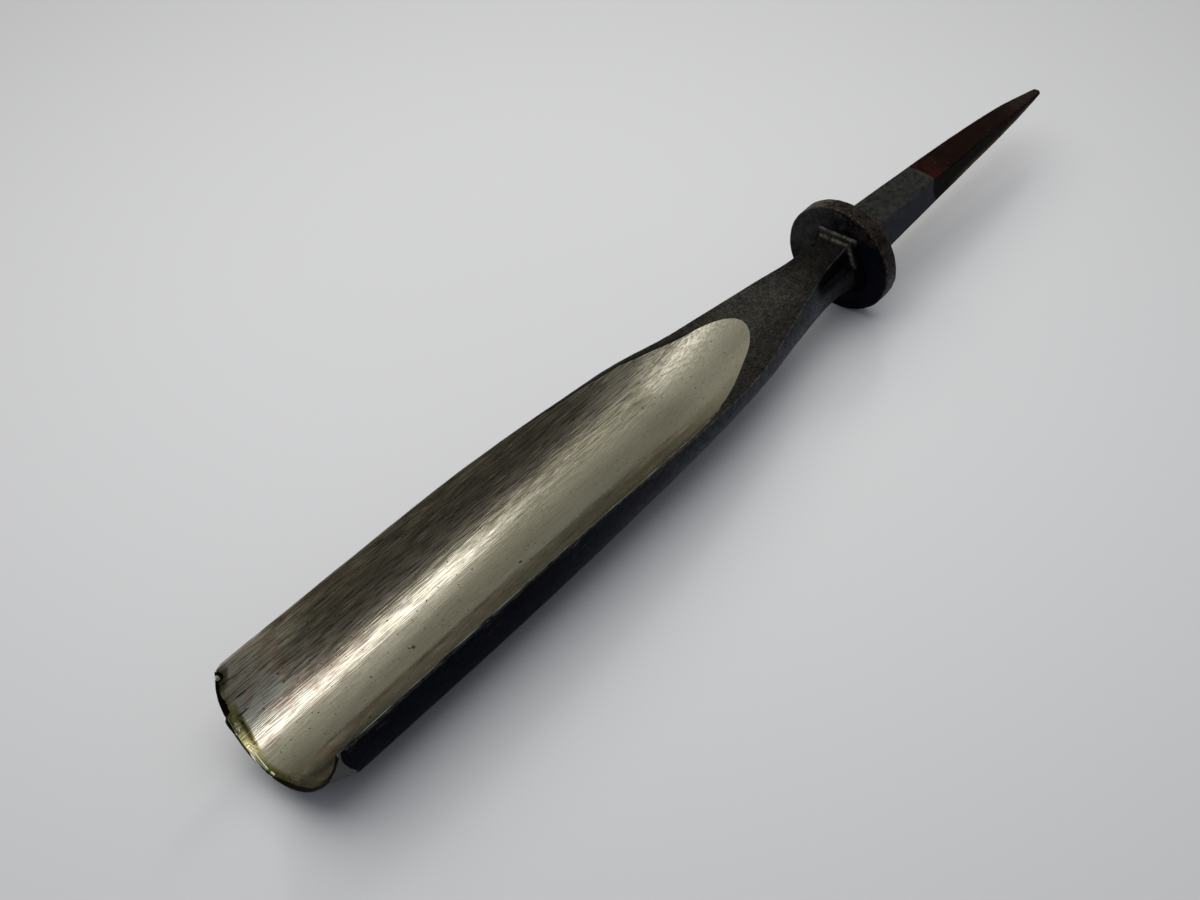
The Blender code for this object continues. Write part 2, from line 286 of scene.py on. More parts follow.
class FilmSettings(bpy.types.PropertyGroup):
    """Sizes and colours of the dip film on the cutting edge."""

    thickness: length("Thickness", "Thickness of the skin", 0.00016)
    gap: length("Gap", "Gap between film and steel", 0.00006)
    nose: length("Nose", "How far the fold stands in front of the edge", 0.00026)
    inner_reach: length("Inner reach", "Reach of the film into the trough", 0.00175)
    outer_reach: length("Outer reach", "Reach of the film over the bevel", 0.0006)
    spread: angle("Spread", "Turn from straight down to which the film reaches", 87.5)
    amber: colour("Amber", "Tint of light that goes through the film once", (0.94, 0.93, 0.67))
    # Painted shade: the near-black colour in the fold at the edge and in the crumpled corner.
    fold: colour("Fold", "Dark residue in the fold at the edge", (0.0045, 0.004, 0.0018))


class StageSettings(bpy.types.PropertyGroup):
    """Camera, floor and light."""

    camera_place: spot("Camera place", "Where the camera stands", (-0.19623, -0.14887, 0.21773))
    camera_turn: setting(
        "Camera turn", "Camera's turns about X, Y and Z",
        (math.radians(47.1451), math.radians(2.6216), math.radians(-50.0131)), subtype="EULER")
    lens: setting("Lens", "Focal length", 54.594, subtype="DISTANCE_CAMERA", precision=3)
    floor: colour("Floor", "Pale grey of the bench", (0.655, 0.648, 0.638))
    floor_size: length("Floor size", "Width of the floor", 8.0)
    key_place: spot("Key place", "Where the broad soft light hangs", (0.1, 0.28, 0.88))
    key_size: length("Key size", "Diameter of the broad soft light", 1.65)
    key_power: power("Key power", "Power of the broad soft light", 8.8)
    key_tint: colour("Key tint", "Tint of both lights", (1.0, 0.978, 0.925))
    side_place: spot("Side place", "Where the small light past the tang hangs", (0.93, 0.44, 0.68))
    side_size: length("Side size", "Diameter of the small light past the tang", 0.24)
    side_power: power("Side power", "Power of the small light past the tang", 1.8)
    room_tint: colour("Room tint", "Tint of the light from all round", (0.8, 0.865, 1.0))
    gleam_tint: colour("Gleam tint", "Tint of the room as the steel mirrors it", (1.0, 1.0, 0.86))
    lamp_tint: colour("Lamp tint", "Tint of the lamp that the trough mirrors", (0.94, 0.94, 0.93))


class Term:
    """A value in a node tree. Arithmetic on it adds Math nodes."""

    def __init__(self, tree, socket):
        self.tree = tree
        self.socket = socket

    def also(self, name):
        """Another output of the same node."""
        return Term(self.tree, self.socket.node.outputs[name])

    def maths(self, operation, *values):
        """Math node on these values."""
        return self.tree.add("ShaderNodeMath", {"operation": operation}, dict(enumerate(values)))

    def __add__(self, other):
        return self.maths("ADD", self, other)

    def __radd__(self, other):
        return self.maths("ADD", other, self)

    def __sub__(self, other):
        return self.maths("SUBTRACT", self, other)

    def __rsub__(self, other):
        return self.maths("SUBTRACT", other, self)

    def __mul__(self, other):
        return self.maths("MULTIPLY", self, other)

    def __rmul__(self, other):
        return self.maths("MULTIPLY", other, self)

    def __truediv__(self, other):
        return self.maths("DIVIDE", self, other)

    def __pow__(self, other):
        return self.maths("POWER", self, other)

    def __abs__(self):
        return self.maths("ABSOLUTE", self)

    def most(self, other):
        """The larger of two values."""
        return self.maths("MAXIMUM", self, other)

    def rise(self, low, high):
        """0 below low, 1 above high and a smooth step between them; the other way round if low is higher."""
        return self.tree.add(
            "ShaderNodeMapRange", {"interpolation_type": "SMOOTHSTEP"},
            {"Value": self, "From Min": low, "From Max": high})

    def within(self, start, full, fading, end):
        """1 from full to fading, 0 before start and after end, with smooth steps between them."""
        return self.rise(start, full) * self.rise(end, fading)


class Nodes:
    """A node tree, with one method that adds any node."""

    def __init__(self, tree):
        self.tree = tree
        tree.nodes.clear()

    def add(self, kind, settings, inputs, output=0):
        """Add a node, set it, feed its sockets and return one of its outputs."""
        node = self.tree.nodes.new(kind)
        for key, value in settings.items():
            if key == "stops":
                self.set_stops(node.color_ramp.elements, value)
            else:
                setattr(node, key, value)
        for key, value in inputs.items():
            self.feed(node.inputs[key], value)
        return Term(self, node.outputs[output]) if node.outputs else None

    def set_stops(self, elements, stops):
        """Stops of a ramp, as pairs of place and grey level."""
        while len(elements) < len(stops):
            elements.new(1.0)
        for element, (place, level) in zip(elements, stops):
            element.position = place
            element.color = (level, level, level, 1.0)

    def feed(self, socket, value):
        """Link a term to a socket, or set the socket's own value."""
        if isinstance(value, Term):
            self.tree.links.new(value.socket, socket)
        elif socket.type == "RGBA":
            socket.default_value = (*value[:3], 1.0)
        else:
            socket.default_value = value

    def scaled(self, vector, factors):
        """A vector times another, part by part."""
        return self.add("ShaderNodeVectorMath", {"operation": "MULTIPLY"}, {0: vector, 1: factors})

    def distance(self, vector, point):
        """How far a vector is from a point."""
        return self.add("ShaderNodeVectorMath", {"operation": "DISTANCE"}, {0: vector, 1: point}, "Value")

    def grain(self, vector, along, across, detail=2.0, roughness=0.5):
        """Noise with so many cells per metre along the tool and across it."""
        return self.add("ShaderNodeTexNoise", {}, {
            "Vector": self.scaled(vector, (along, across, across)), "Scale": 1.0, "Detail": detail,
            "Roughness": roughness})

    def specks(self, vector, along, across):
        """Distance to the nearest of scattered points, so many per metre along the tool and across it."""
        return self.add("ShaderNodeTexVoronoi", {}, {
            "Vector": self.scaled(vector, (along, across, across)), "Scale": 1.0})

    def blend(self, below, above, share):
        """One colour into another by a share."""
        return self.add("ShaderNodeMix", {"data_type": "RGBA"}, {0: share, 6: below, 7: above}, 2)

    def layers(self, below, *coats):
        """Coats of colour and share over a colour, one after another."""
        for tint, share in coats:
            below = self.blend(below, tint, share)
        return below

    def brighten(self, tint, level):
        """A colour times a level."""
        grey = self.add("ShaderNodeCombineColor", {}, {0: level, 1: level, 2: level})
        settings = {"data_type": "RGBA", "blend_type": "MULTIPLY"}
        return self.add("ShaderNodeMix", settings, {0: 1.0, 6: tint, 7: grey}, 2)

    def relief(self, height, depth):
        """Bump of a given depth in metres."""
        return self.add("ShaderNodeBump", {}, {"Strength": 1.0, "Distance": depth, "Height": height})

    def place(self):
        """Position in the tool's frame."""
        return self.add("ShaderNodeTexCoord", {}, {}, "Object")

    def mask(self, name):
        """A value painted on the mesh's points."""
        return self.add("ShaderNodeAttribute", {"attribute_name": name}, {}, "Fac")

    def parts(self, vector):
        """X, Y and Z of a vector."""
        x = self.add("ShaderNodeSeparateXYZ", {}, {0: vector})
        return x, x.also("Y"), x.also("Z")

    def upward(self):
        """How far the surface faces up, from -1 to 1."""
        return self.parts(self.add("ShaderNodeNewGeometry", {}, {}, "Normal"))[2]

    def surface(self, inputs):
        """Principled shader: numbers go on its own sockets, terms are linked."""
        return self.add("ShaderNodeBsdfPrincipled", {}, inputs)

    def cover(self, below, above, share):
        """One shader over another by a share."""
        return self.add("ShaderNodeMixShader", {}, {0: share, 1: below, 2: above})


def finish(build, settings):
    """A material named after its build function, whose surface is what that returns."""
    material = bpy.data.materials.new(build.__name__)
    material.use_nodes = True
    nodes = Nodes(material.node_tree)
    nodes.add("ShaderNodeOutputMaterial", {}, {"Surface": build(nodes, settings)})
    return material


def trough_pits(nodes, at, jitter):
    """Mask of small pits, rarer large ones, two stains and two slits."""
    rare = nodes.grain(at, 170, 260)
    small = (nodes.specks(at, 800, 1150) + 0.18 * jitter).rise(0.15, 0.07) * rare.rise(0.34, 0.52)
    large = (nodes.specks(at, 260, 420) + 0.2 * jitter).rise(0.1, 0.05) * rare.rise(0.46, 0.36)
    pits = small.most(large)
    for place, size in PIT_STAINS:
        pits = (nodes.distance(at, place) + 0.0012 * jitter).rise(size, 0.2 * size).most(pits)
    for place in SLITS:
        middle = [part * factor for part, factor in zip(place, SLIT_SHAPE)]
        slit = nodes.distance(nodes.scaled(at, SLIT_SHAPE), middle)
        pits = (slit + 0.00006 * jitter).rise(0.0002, 0.0001).most(pits)
    return pits


def unground_rim(nodes, at, inset):
    """Mask of the forging skin left inside the trough's rims, with a torn border."""
    x, y, _ = nodes.parts(at)
    torn = nodes.grain(at, 260, 900, 3, 0.6) - 0.5
    left = (0.00105 - 0.00055 * x.rise(-0.06, -0.053)) * x.within(-0.115, -0.068, -0.042, -0.034)
    ragged = 0.00035 + 0.00105 * x.rise(-0.112, -0.092)
    right = 0.00075 + 0.00042 * x.rise(-0.098, -0.116) + 0.0005 * x.rise(-0.136, -0.1415) + ragged * torn
    band = left * y.rise(0.004, 0.008) + 0.0005 * y.rise(-0.003, -0.006) * x.rise(-0.064, -0.052)
    band = band + right * y.rise(-0.004, -0.008) * x.rise(-0.052, -0.064)
    return (band - 0.0009 * x.rise(-0.05, -0.062) - inset - 0.00018 * torn).rise(-0.00003, 0.00003)


def ground_trough(nodes, iron):
    """Steel ground along the trough: hair lines, a rough tarnished wall, pits, stains, an unground rim,
    painted shade and painted reflections on its walls, and a rim line with a painted highlight.
    """
    at = nodes.place()
    x, y, _ = nodes.parts(at)
    hair = nodes.grain(at, 170, 5600, 1)
    scratch = nodes.grain(at, 80, 3000, 2, 0.6)
    nick = nodes.grain(at, 220, 4000, 1)
    cloud = nodes.grain(at, 60, 150, 4, 0.6)
    grit = nodes.grain(at, 2600, 5200, 2, 0.6)
    jitter = nodes.grain(at, 1500, 1500) - 0.5
    wall = y.rise(0.0015, 0.0075)
    high = y.rise(0.004, 0.0085)
    right = y.rise(-0.001, -0.0042)
    tarnish = y.rise(0.0055, 0.01) * x.within(-0.14, -0.12, -0.072, -0.054)
    strength = 0.18 + 0.82 * wall
    lines = 0.7 * (hair.rise(0.4, 0.6) - 0.5) + 0.2 * (scratch.rise(0.34, 0.66) - 0.5)
    fade = x.rise(-0.046, -0.066) - 0.35 * x.rise(-0.075, -0.095)
    tone = 1.0 + strength * lines + 0.24 * (cloud - 0.5) + 0.55 * (grit - 0.5)
    # Painted shade: the right wall is darkened over most of the blade, for the dark left wall that it
    # mirrors.
    tone = tone * (1.0 - 0.42 * tarnish) * (1.0 - 0.4 * right * fade)
    # Painted reflection: the upper left wall near the edge is brightened; painted highlight: the run-out is
    # brightened.
    tone = tone * (1.0 + 0.8 * high * x.rise(-0.127, -0.138)) * (1.0 + 0.24 * x.rise(-0.055, -0.045))
    # Painted shade: the right side near the edge is darkened, for the darker reflection there.
    tone = tone * (1.0 - 0.75 * y.rise(-0.0004, -0.005) * x.rise(-0.124, -0.1395))
    tone = tone.most(0.1) * (1.0 + wall * (0.8 * nick.rise(0.34, 0.29) - 0.6 * nick.rise(0.66, 0.7)))
    stain = nodes.grain(at, 220, 300, 3, 0.6).rise(0.44, 0.62) * wall
    # Painted shade in olive over the right side near the edge.
    olive_tip_shade = x.rise(-0.137, -0.1447) * y.rise(0.003, -0.005)
    metal = nodes.brighten(nodes.layers(
        iron.steel,
        # Painted reflection: a cooler tint on the right wall, for the colour of the left wall that it
        # mirrors.
        ((0.555, 0.565, 0.49), right * x.rise(-0.064, -0.08)),
        ((0.44, 0.37, 0.31), wall * (0.25 + 0.4 * tarnish)),
        # Painted reflection: the upper left wall near the edge is paled.
        ((0.5, 0.475, 0.435), 0.8 * high * x.rise(-0.128, -0.138)),
        ((0.36, 0.245, 0.205), 0.6 * stain * x.rise(-0.112, -0.128)),
        # Painted shade: olive over the right side near the edge.
        ((0.3, 0.29, 0.17), 0.75 * olive_tip_shade)), tone)
    pits = trough_pits(nodes, at, jitter)
    metal = nodes.blend(metal, (0.06, 0.045, 0.034), 0.85 * pits)
    for place, size in RUST_SPOTS:
        rust = (nodes.distance(at, place) + 0.0003 * jitter).rise(size, 0.35 * size)
        metal = nodes.blend(metal, (0.42, 0.13, 0.06), 0.85 * rust)
    inset = nodes.mask("inset")
    skin = unground_rim(nodes, at, inset)
    brown = nodes.brighten(iron.skin_brown, 0.2 + 0.6 * cloud)
    # Pale line along the right rim's crest: wear, and a painted highlight.
    crest = inset.within(-0.00022, -0.0001, -0.00002, 0.00006) * y.rise(-0.006, -0.01)
    metal = nodes.layers(
        metal,
        (nodes.blend(brown, iron.skin, x.rise(-0.07, -0.1)), skin),
        ((0.2, 0.19, 0.165), 0.7 * crest * nick.rise(0.4, 0.58)))
    dimples = nodes.grain(at, 420, 1300) * x.rise(-0.048, -0.043) * y.rise(0.001, 0.0032)
    rough = 0.06 + 0.05 * cloud + 0.22 * x.rise(-0.057, -0.047) + 0.34 * y.rise(0.0058, 0.01)
    return nodes.surface({
        "Specular IOR Level": 0.1, "Base Color": metal, "Metallic": 1.0 - skin,
        "Roughness": rough + 0.3 * pits + 0.35 * skin,
        "Normal": nodes.relief((0.6 * scratch + 0.7 * hair) * strength + 0.9 * dimples, 0.000034)})


def forging_skin(nodes, iron):
    """Matte scale: blue-black outside the blade, brown on the shank's top with painted light across it, grey
    low on its flanks as a painted reflection of the floor, painted shade by the neck, the pad and the
    collar, and rubbed ridges and bars lightened also as painted highlights.
    """
    at = nodes.place()
    x, y, z = nodes.parts(at)
    mottle = nodes.grain(at, 800, 800, 4, 0.75)
    grit = nodes.grain(at, 2500, 2500, 3, 0.7).rise(0.28, 0.72)
    patch = nodes.grain(at, 120, 170, 3, 0.6)
    shank = x.rise(-0.11, -0.04)
    top = nodes.upward().rise(0.55, 0.85)
    side = 1.0 - top
    # Painted reflection: the flanks lighten toward the bottom, where they mirror the pale floor.
    flank = z.rise(0.005, -0.0045) * x.rise(-0.004, -0.02)
    # Painted light: the shank's top is darker toward its right ridge and a little toward its left edge.
    lit = 0.5 + 0.45 * y.rise(-0.0065, 0.001) - 0.35 * y.rise(0.006, 0.0085)
    # Painted shade: dark in the hollow beside the neck, on the pad's side, and on the neck's top and sides
    # near the collar.
    hollow = x.rise(-0.0175, -0.014) * z.within(0.0002, 0.0014, 0.0041, 0.0049) * side
    pad = x.rise(-0.0056, -0.0048) * side
    shade = (1.0 - 0.72 * x.rise(-0.024, -0.01) * top) * (1.0 - 0.9 * hollow.most(pad))
    shade = shade * (1.0 - 0.6 * x.rise(-0.019, -0.009) * side)
    grain = 1.0 + (0.75 + 0.6 * top) * (grit - 0.5)
    tone = (0.52 + 0.96 * mottle.rise(0.2, 0.8)) * grain * (0.75 + 0.5 * patch) * shade
    tint = nodes.layers(
        iron.skin,
        # Painted reflection of the floor, grey, strongest low on the flanks.
        (iron.flank_reflection, shank * (0.27 + 0.73 * flank)),
        (nodes.brighten(iron.skin_brown, lit), top * shank))
    # Rubbed ridges and bars, lightened also as painted highlights that their rounding catches.
    torn = nodes.grain(at, 700, 1500, 3, 0.7).rise(0.28, 0.62)
    worn_and_sheen = nodes.mask("wear") * torn * (0.3 + 0.7 * mottle.rise(0.36, 0.58))
    scuff = nodes.grain(at, 90, 1500, 3, 0.7).rise(0.64, 0.72) * z.rise(0.003, 0.0055)
    scale = nodes.layers(
        nodes.brighten(tint, tone),
        ((0.13, 0.12, 0.098), worn_and_sheen),
        ((0.16, 0.15, 0.135), 0.7 * scuff * nodes.mask("outside")))
    return nodes.surface({
        "Specular IOR Level": SCALE_GLOSS, "Base Color": scale,
        "Roughness": 0.55 - 0.1 * worn_and_sheen - 0.14 * (mottle - 0.5),
        "Normal": nodes.relief(mottle + 0.35 * grit, 0.00014)})


def ground_bevel(nodes, iron):
    """Grey steel of the outside bevel, ground across, with the skin's ragged end at its upper border."""
    at = nodes.place()
    _, y, z = nodes.parts(at)
    lines = nodes.grain(at, 2600, 260, 3, 0.6)
    cloud = nodes.grain(at, 260, 260, 3)
    ragged = nodes.grain(at, 700, 700, 3, 0.6)
    height = nodes.mask("bevel")
    corner = y.rise(-0.0085, -0.012) * z.rise(0.0, 0.0065)
    skin = (height + 0.2 * (ragged - 0.5) + 0.6 * corner).rise(0.925, 0.95)
    fresh = height.rise(0.1, 0.02)
    tint = nodes.layers(
        nodes.brighten(iron.steel, 0.07 + 0.06 * lines + 0.05 * cloud + 0.5 * fresh),
        ((0.055, 0.055, 0.056), 0.7 * (1.0 - fresh)),
        (iron.skin, skin))
    return nodes.surface({
        "Specular IOR Level": SCALE_GLOSS, "Base Color": tint, "Metallic": 1.0 - skin,
        "Roughness": 0.36 + 0.2 * skin, "Normal": nodes.relief(lines, 0.00001)})


def tang_scale(nodes, iron):
    """Grey scale beside the collar, maroon past a scalloped border, brown at the blunt tip."""
    at = nodes.place()
    x, y, z = nodes.parts(at)
    mottle = nodes.grain(at, 380, 420, 4, 0.65)
    grit = nodes.grain(at, 2400, 2400, 3, 0.6)
    wobble = nodes.grain(at, 260, 420, 3, 0.6)
    fine = nodes.grain(at, 900, 1100, 3, 0.6)
    uneven = 0.45 + 1.1 * mottle
    past = x - (0.025 - 45.0 * (y - 0.0009) ** 2.0 + 0.56 * (0.0008 - z).most(0.0))
    heat = (past + 0.0012 * (wobble - 0.5)).rise(-0.00035, 0.00035)
    ember = past.rise(0.0075, 0.0005) * mottle.rise(0.4, 0.62)
    hot = nodes.layers(
        nodes.brighten(iron.tang_maroon, 0.4 + 1.2 * mottle),
        ((0.03, 0.0065, 0.0045), 0.8 * ember),
        (nodes.brighten((0.019, 0.0135, 0.0105), uneven), x.rise(0.052, 0.066)))
    side = nodes.upward().rise(0.75, 0.45)
    low = z.rise(-0.0002, -0.0019) * x.within(0.028, 0.04, 0.06, 0.067) * side
    # Ridges and tip rubbed lighter, from the mask that also holds the pad's painted highlights.
    worn_and_sheen = nodes.mask("wear") * nodes.grain(at, 420, 1400, 3, 0.7).rise(0.44, 0.66)
    specks = nodes.specks(at, 650, 650).rise(0.18, 0.06) * (1.0 - 0.9 * side)
    tint = nodes.layers(
        nodes.brighten(iron.tang_grey, 0.4 + 1.3 * fine.rise(0.15, 0.85)),
        (hot, heat),
        ((0.05, 0.046, 0.04), 0.35 * past.within(-0.0008, -0.0002, 0.0001, 0.0006)),
        (nodes.brighten((0.03, 0.031, 0.037), uneven), side * (1.0 - heat)),
        (nodes.brighten((0.0044, 0.0017, 0.0014), uneven), side * heat),
        ((0.085, 0.05, 0.021), 0.9 * low * mottle.rise(0.28, 0.5)),
        ((0.055, 0.047, 0.038), worn_and_sheen * (0.7 - 0.5 * heat)),
        ((0.06, 0.05, 0.04), 0.4 * specks))
    return nodes.surface({
        "Specular IOR Level": SCALE_GLOSS, "Base Color": nodes.brighten(tint, 0.55 + 0.9 * grit),
        "Roughness": 0.56 - 0.1 * (mottle - 0.5), "Normal": nodes.relief(mottle + 0.4 * grit, 0.00014)})


def collar_scale(nodes, collar):
    """Black face and brown rim, with rust dotted along the upper front edge and a ragged lip rubbed lighter
    and painted as a highlight; a painted reflection in grey on the face's upper left, and on the rim painted
    light to the left and a painted reflection in bluish grey low down.
    """
    at = nodes.place()
    _, y, z = nodes.parts(at)
    mottle = nodes.grain(at, 620, 620, 4, 0.7)
    grit = nodes.grain(at, 3000, 3000, 2, 0.6)
    rusty = nodes.grain(at, 700, 700, 4, 0.75)
    dots = nodes.grain(at, 1900, 1900, 3, 0.7)
    hammered = nodes.grain(at, 1300, 1300).rise(0.52, 0.62)
    rim = nodes.mask("rim")
    front = nodes.mask("edge") * z.rise(-0.001, 0.004)
    tone = (0.25 + 1.5 * mottle.rise(0.22, 0.78)) * (0.35 + 1.3 * grit)
    scuffed = rusty.rise(0.4, 0.6) * z.rise(0.005, 0.0078) * y.rise(0.004, -0.001)
    face = nodes.layers(
        (0.0017, 0.0021, 0.0052),
        ((0.03, 0.0245, 0.017), 0.6 * scuffed),
        # Painted reflection: grey over the face's upper left.
        ((0.022, 0.0222, 0.0225), y.rise(-0.001, 0.0075) * z.rise(-0.005, 0.003)))
    # Painted light: the rim is lighter on its left side; painted reflection: bluish grey low on it.
    brown = nodes.brighten(collar.scale, 1.0 + 2.2 * y.rise(0.0015, 0.005))
    brown = nodes.blend(brown, (0.042, 0.042, 0.046), z.rise(0.004, -0.002))
    brown = nodes.brighten(brown, 1.0 - 0.75 * hammered)
    tint = nodes.layers(
        nodes.brighten(nodes.blend(face, brown, rim), tone),
        (collar.rust, 0.32 * rim * rusty.rise(0.54, 0.68) * z.rise(0.0, 0.006)),
        (collar.rust, 0.5 * front * dots.rise(0.46, 0.58)),
        ((0.15, 0.13, 0.1), front * dots.rise(0.55, 0.68)),
        # The lip rubbed lighter, and a painted highlight there.
        ((0.05, 0.04, 0.029), 0.9 * nodes.mask("wear") * rusty.rise(0.44, 0.62)))
    return nodes.surface({
        "Specular IOR Level": 0.05, "Base Color": tint, "Roughness": 0.55 - 0.14 * (mottle - 0.5),
        "Normal": nodes.relief(mottle + 0.4 * grit, 0.0002)})


def amber_film(nodes, film):
    """Clear amber skin that thins out up the trough, with painted shade in its fold, its crumpled corner and
    round its blister, painted shade in olive toward the right, brown smearing and painted shade along its
    inner border, and painted glints on its creases and in its blister.
    """
    at = nodes.place()
    depth, turn, fade = (nodes.mask(name) for name in ("depth", "turn", "fade"))
    ripple = nodes.grain(at, 1500, 700)
    cloud = nodes.grain(at, 900, 420, 3, 0.6)
    crumple = nodes.grain(at, 2600, 1700, 3, 0.65)
    # Painted shade: the olive tint darkens toward the right.
    olive = nodes.blend((0.52, 0.53, 0.22), (0.28, 0.265, 0.11), turn.rise(0.0, -0.4))
    tint = nodes.layers(
        nodes.brighten(film.amber, 0.86 + 0.3 * cloud),
        ((0.7, 0.66, 0.38), turn.rise(0.8, 0.95) * crumple.rise(0.35, 0.6)),
        (nodes.brighten(olive, 0.6 + 0.8 * crumple), turn.rise(0.48, 0.0)),
        ((1.0, 1.0, 1.0), fade),
        # Brown smearing along the inner border on the left, with painted shade below the blister and on the
        # right.
        ((0.26, 0.23, 0.12), nodes.mask("smear") * crumple.rise(0.22, 0.52)))
    normal = nodes.relief(ripple + 0.5 * crumple * turn.rise(0.55, 0.85), 0.00007)
    clear = nodes.surface({
        "Transmission Weight": 1.0, "IOR": 1.1, "Coat Roughness": 0.05, "Coat IOR": 1.5, "Base Color": tint,
        "Roughness": 0.02 + 0.06 * cloud, "Coat Weight": 0.6 - 0.6 * fade, "Normal": normal})
    # Painted shade: near black where the film folds round the edge, in its crumpled corner and round its
    # blister.
    fold_shade = nodes.surface({
        "Roughness": 0.4, "Specular IOR Level": 0.03, "Normal": normal,
        "Base Color": nodes.brighten(film.fold, 0.2 + 1.4 * crumple)})
    # Painted glints: pale patches along the film's creases and inside its blister.
    glint_white = nodes.surface({"Base Color": (0.95, 0.94, 0.86), "Roughness": 0.35})
    out = nodes.distance(at, BLISTER) / BLISTER_RADIUS
    fold = nodes.mask("fold") * (0.35 + 1.3 * crumple)
    dark = (fold - depth).rise(-0.00005, 0.00005) * out.rise(0.6, 0.9)
    ring = abs(out - 1.0).rise(0.22, 0.08)
    # Painted glints inside the blister, then along each of the creases.
    glint_share = out.rise(0.75, 0.45) * crumple.rise(0.44, 0.56)
    for start, stop, place, slant in PAINTED_GLINTS:
        line = abs(depth - place - slant * (turn - start)).rise(0.00008, 0.00003)
        glint_share = (line * turn.within(start, start + 0.02, stop - 0.02, stop)).most(glint_share)
    skin = nodes.cover(clear, fold_shade, dark.most(0.95 * ring))
    return nodes.cover(skin, glint_white, glint_share * (0.4 + 0.6 * ripple.rise(0.3, 0.5)))


def bench_floor(nodes, stage):
    """Plain pale floor, with painted shade that darkens it a little away from the tool, that runs into the
    backdrop far from it.
    """
    at = nodes.place()
    # Painted shade: darker away from the tool, as the light falls off.
    away = nodes.distance(at, (0.0, 0.045, 0.0)).rise(0.03, 0.29)
    speck = nodes.grain(at, 900, 900)
    tint = nodes.brighten(stage.floor, 1.0 - 0.36 * away + 0.01 * (speck - 0.5))
    near = nodes.surface({"Roughness": 0.9, "Specular IOR Level": 0.0, "Base Color": tint})
    far = nodes.add("ShaderNodeEmission", {}, {"Color": stage.floor, "Strength": BACKDROP_LEVEL})
    seen = nodes.add("ShaderNodeLightPath", {}, {}, "Is Camera Ray")
    return nodes.cover(near, far, nodes.distance(at, (0.0, 0.0, 0.0)).rise(0.28, 0.7) * seen)


def smooth_through(knots, values, place):
    """Values at places on a smooth curve through the knots that never overshoots them."""
    knots = np.asarray(knots, dtype=float)
    values = np.asarray(values, dtype=float)
    spans = np.diff(knots)
    rises = np.diff(values) / spans
    slopes = np.concatenate([rises[:1], np.zeros(len(knots) - 2), rises[-1:]])
    for i in range(1, len(knots) - 1):
        if rises[i - 1] * rises[i] > 0.0:
            slopes[i] = 2.0 * rises[i - 1] * rises[i] / (rises[i - 1] + rises[i])
    place = np.clip(place, knots[0], knots[-1])
    i = np.clip(np.searchsorted(knots, place) - 1, 0, len(spans) - 1)
    t = (place - knots[i]) / spans[i]
    start = (1.0 + 2.0 * t) * (1.0 - t) ** 2 * values[i] + t * (1.0 - t) ** 2 * spans[i] * slopes[i]
    end = t * t * (3.0 - 2.0 * t) * values[i + 1] - t * t * (1.0 - t) * spans[i] * slopes[i + 1]
    return start + end


def smooth_step(low, high, value):
    """0 at low, 1 at high, smooth between them."""
    t = np.clip((value - low) / (high - low), 0.0, 1.0)
    return t * t * (3.0 - 2.0 * t)


def window(start, full, fading, end, value):
    """1 from full to fading, 0 before start and after end, smooth between them."""
    return smooth_step(start, full, value) * (1.0 - smooth_step(fading, end, value))


def hump(value, middle, width):
    """1 at the middle, falling off smoothly over a width to both sides."""
    return np.exp(-((value - middle) / width) ** 2)


def wander(point, seed, cell=1.0):
    """Smooth noise from -1 to 1 with cells of a given size."""
    return noise.noise(Vector(point) / cell + Vector((seed, 2.3 * seed, -1.7 * seed)))


def rest_matrix():
    """From the tool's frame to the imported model's, by the handle seat in the record."""
    seat = frame["record"]["mounts"][0]
    along = Vector(seat["axis"]).normalized()
    up = Vector((-along.z, 0.0, along.x))
    turn = Matrix((along, up.cross(along), up)).transposed().to_4x4()
    turn.translation = Vector(seat["pos_m"]) - SEAT_HEIGHT * up
    return turn


def new_object(name, data):
    """New object in the scene."""
    item = bpy.data.objects.new(name, data)
    bpy.context.scene.collection.objects.link(item)
    return item


def back_point(turn, width, top, back, swell, square):
    """Across and up of the rounded back, from the right rim, 0, underneath to the left rim, pi."""
    fold = np.minimum(turn, math.pi - turn)
    bend = np.arctan(np.tan(fold) ** (0.5 * square))
    half = 0.5 * width * np.cos(bend) ** (2.0 / square) + swell * np.sin(2.0 * bend)
    side = np.where(turn < 0.5 * math.pi, -1.0, 1.0)
    return side * half, top - (top + back) * np.sin(bend) ** (2.0 / square)


